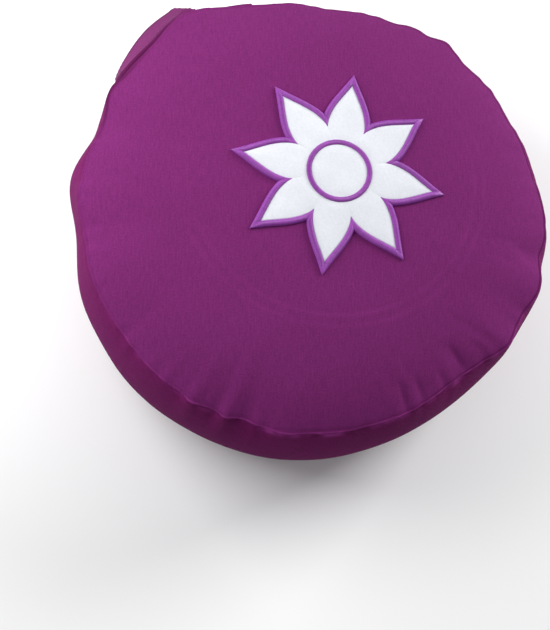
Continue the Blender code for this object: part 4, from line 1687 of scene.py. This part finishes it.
def mark_cover(mesh, rows, paths):
    """Store on the cover's points where its band is, where shade is painted in its folds, behind the strap
    and by the turned-down seam, and where its edges are worn and given a painted highlight.
    """
    distances = np.array([min(from_seam(path)) for path in paths])
    depths = (np.array(paths) - 1.0) * BAND_HEIGHT
    in_pocket = (depths > 0.0) * np.clip((POCKET_DEPTH - depths) / POCKET_FADE, 0.0, 1.0)
    places = np.empty(len(mesh.vertices) * 3)
    mesh.vertices.foreach_get("co", places)
    angles = np.arctan2(places[1::3], places[0::3])
    off_strap = degrees_from(angles, math.degrees(STRAP_AT))
    off_turned = degrees_from(angles, TURNED_AT_DEG)
    # Masks of the band, of the painted shade and of the wear with its painted highlight
    marks = {
        "pocket": in_pocket[rows] * bell(off_strap, math.degrees(STRAP_HALF_SPAN)),
        "seam": bell(distances, RIDGE_WIDTH)[rows],
        "fold": bell(distances - FOLD_AT, FOLD_WIDTH)[rows],
        "lip": bell(depths - LIP_AT, LIP_WIDTH)[rows],
        # Painted shade where the cloth by the seam turns down out of the light
        "turned": bell(distances, TURNED_WIDTH)[rows] * bell(off_turned, TURNED_SPAN_DEG),
        "band": (np.array(paths) > 1.0)[rows],
    }
    for name, values in marks.items():
        mark = mesh.attributes.new(name, "FLOAT", "POINT")
        mark.data.foreach_set("value", values.astype(np.float32))


class CUSHION_OT_cover(bpy.types.Operator):
    """Make the filled cover: face, band and underside sewn together"""

    bl_idname = "cushion.cover"
    bl_label = "Cover"

    def execute(self, context):
        cover = context.scene.cushion_cover
        points, paths = finished_cover(cover)
        mesh, rows = grid_mesh("cushion_cover", points, paths)
        mark_cover(mesh, rows, paths)
        piece = add_piece("cushion_cover", mesh, cover_cotton(cover))
        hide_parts("cushion")
        return {"FINISHED"}


class CUSHION_OT_strap(bpy.types.Operator):
    """Make the folded carry strap, sewn to the band at both ends"""

    bl_idname = "cushion.strap"
    bl_label = "Carry handle"

    def execute(self, context):
        strap = context.scene.cushion_strap
        piece = add_piece("carry_strap", strap_mesh(), strap_cotton(strap, context.scene.cushion_cover))
        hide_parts("handle_strap")
        return {"FINISHED"}


class CUSHION_OT_strap_stitches(bpy.types.Operator):
    """Sew the strap: a row along each long edge and two across each end"""

    bl_idname = "cushion.strap_stitches"
    bl_label = "Handle stitches"

    def execute(self, context):
        strap = context.scene.cushion_strap
        thread = satin_thread("sewing_thread", strap.thread_colour, 0.6)
        piece = lay_threads(
            "strap_stitches", strap_lines(strap.stitch), thread, Pitch=strap.stitch_pitch,
            Length=strap.stitch, Width=STITCH_WIDTH, Rise=STITCH_RISE,
            Unevenness=STITCH_UNEVENNESS, Seed=STITCH_SEED)
        return {"FINISHED"}


class CUSHION_OT_rosette(bpy.types.Operator):
    """Lay the rosette's white cloth on the face"""

    bl_idname = "cushion.rosette"
    bl_label = "Rosette cloth"

    def execute(self, context):
        rosette = context.scene.cushion_rosette
        piece = add_piece("rosette_cloth", cloth_mesh(Face(), rosette.puff), white_cotton(rosette))
        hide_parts("applique_cloth")
        outline_area()
        return {"FINISHED"}


class CUSHION_OT_satin_lines(bpy.types.Operator):
    """Embroider the satin-stitch edging round the rosette and the ring in its middle"""

    bl_idname = "cushion.satin_lines"
    bl_label = "Satin stitching"

    def execute(self, context):
        rosette = context.scene.cushion_rosette
        face = Face()
        thread = satin_thread("violet_thread", rosette.thread_colour, 0.42)
        sizes = {
            "Pitch": rosette.thread_pitch,
            "Width": rosette.thread_width,
            "Unevenness": SATIN_UNEVENNESS,
        }
        edging = lay_threads(
            "satin_edging", edging_lines(face, rosette.thread_pitch), thread, edging_core(face),
            Length=EDGING_SPAN, Rise=EDGING_HEIGHT, Seed=EDGING_SEED, **sizes)
        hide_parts("applique_edging")
        ring = lay_threads(
            "satin_ring", ring_lines(face, rosette.thread_pitch), thread, ring_core(face),
            Length=RING_WIDTH, Rise=RING_HEIGHT, Seed=RING_SEED, **sizes)
        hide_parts("applique_ring")
        return {"FINISHED"}


FLOOR_HALF = 6.0
FLOOR_DROP = 0.0003           # below the resting underside, so that the two never lie in one plane
ROOM_COLOUR = (0.97, 0.98, 1.0, 1.0)

# Lamps: which way from the cushion, how high over its face, how far off and how wide
Lamp = namedtuple("Lamp", "name round_deg high_deg away size")
LAMPS_AIM = Vector((0.0, 0.0, 0.08))
KEY = Lamp("key_lamp", -3.0, 22.0, 1.6, 0.7)
SIDE = Lamp("side_lamp", 128.0, 29.0, 0.62, 0.5)


def add_lamp(lamp, power):
    """A square soft lamp that points at the cushion."""
    data = bpy.data.lights.new(lamp.name, "AREA")
    data.shape = "SQUARE"
    data.size = lamp.size
    data.energy = power
    high, way = math.radians(lamp.high_deg), math.radians(lamp.round_deg)
    level = lamp.away * math.cos(high)
    height = FACE_SEAM_Z + lamp.away * math.sin(high)
    place = Vector((level * math.cos(way), level * math.sin(way), height))
    thing = linked(lamp.name, data)
    thing.location = place
    thing.rotation_euler = (LAMPS_AIM - place).to_track_quat("-Z", "Y").to_euler()
    thing.visible_camera = False


class CUSHION_OT_stage(bpy.types.Operator):
    """Set the pale floor, the soft light and the camera"""

    bl_idname = "cushion.stage"
    bl_label = "Stage"

    def execute(self, context):
        scene, stage = context.scene, context.scene.cushion_stage
        mesh = bpy.data.meshes.new("pale_floor")
        ways = ((-1.0, -1.0), (1.0, -1.0), (1.0, 1.0), (-1.0, 1.0))
        corners = [(x * FLOOR_HALF, y * FLOOR_HALF, -FLOOR_DROP) for x, y in ways]
        mesh.from_pydata(corners, [], [(0, 1, 2, 3)])
        mesh.materials.append(floor_finish(stage))
        floor = linked("pale_floor", mesh)
        add_lamp(KEY, stage.key_power)
        add_lamp(SIDE, stage.side_power)
        world = bpy.data.worlds.new("soft_room")
        world.use_nodes = True
        background = world.node_tree.nodes["Background"]
        background.inputs["Color"].default_value = ROOM_COLOUR
        background.inputs["Strength"].default_value = stage.ambient
        scene.world = world
        scene.view_settings.view_transform = "Standard"
        camera_data = bpy.data.cameras.new("camera")
        camera_data.lens = stage.lens
        camera = linked("camera", camera_data)
        camera.location = stage.camera_at
        camera.rotation_euler = stage.camera_turn
        scene.camera = camera
        return {"FINISHED"}


class CUSHION_PT_panel(bpy.types.Panel):
    """Lists the cushion's pieces and their settings"""

    bl_idname = "CUSHION_PT_panel"
    bl_label = "Meditation Cushion"
    bl_space_type = "VIEW_3D"
    bl_region_type = "UI"
    bl_category = "Cushion"

    def draw(self, context):
        for group_name, steps in PANEL_ORDER:
            box = self.layout.box()
            group = getattr(context.scene, group_name)
            for name in group.bl_rna.properties.keys():
                if name not in ("name", "rna_type"):
                    box.prop(group, name)
            for step in steps:
                box.operator(step.bl_idname)


GROUPS = {
    "cushion_cover": CoverSettings,
    "cushion_strap": StrapSettings,
    "cushion_rosette": RosetteSettings,
    "cushion_stage": StageSettings,
}
PANEL_ORDER = (
    ("cushion_cover", (CUSHION_OT_cover,)),
    ("cushion_strap", (CUSHION_OT_strap, CUSHION_OT_strap_stitches)),
    ("cushion_rosette", (CUSHION_OT_rosette, CUSHION_OT_satin_lines)),
    ("cushion_stage", (CUSHION_OT_stage,)),
)
STEPS = tuple(step for _, steps in PANEL_ORDER for step in steps)


def register():
    for cls in (*GROUPS.values(), *STEPS, CUSHION_PT_panel):
        bpy.utils.register_class(cls)
    for name, cls in GROUPS.items():
        setattr(bpy.types.Scene, name, bpy.props.PointerProperty(type=cls))


def unregister():
    for name in GROUPS:
        delattr(bpy.types.Scene, name)
    for cls in (CUSHION_PT_panel, *reversed(STEPS), *reversed(GROUPS.values())):
        bpy.utils.unregister_class(cls)


def main():
    register()
    bpy.ops.cushion.cover()
    bpy.ops.cushion.strap()
    bpy.ops.cushion.strap_stitches()
    bpy.ops.cushion.rosette()
    bpy.ops.cushion.satin_lines()
    bpy.ops.cushion.stage()


if __name__ == "__main__":
    main()
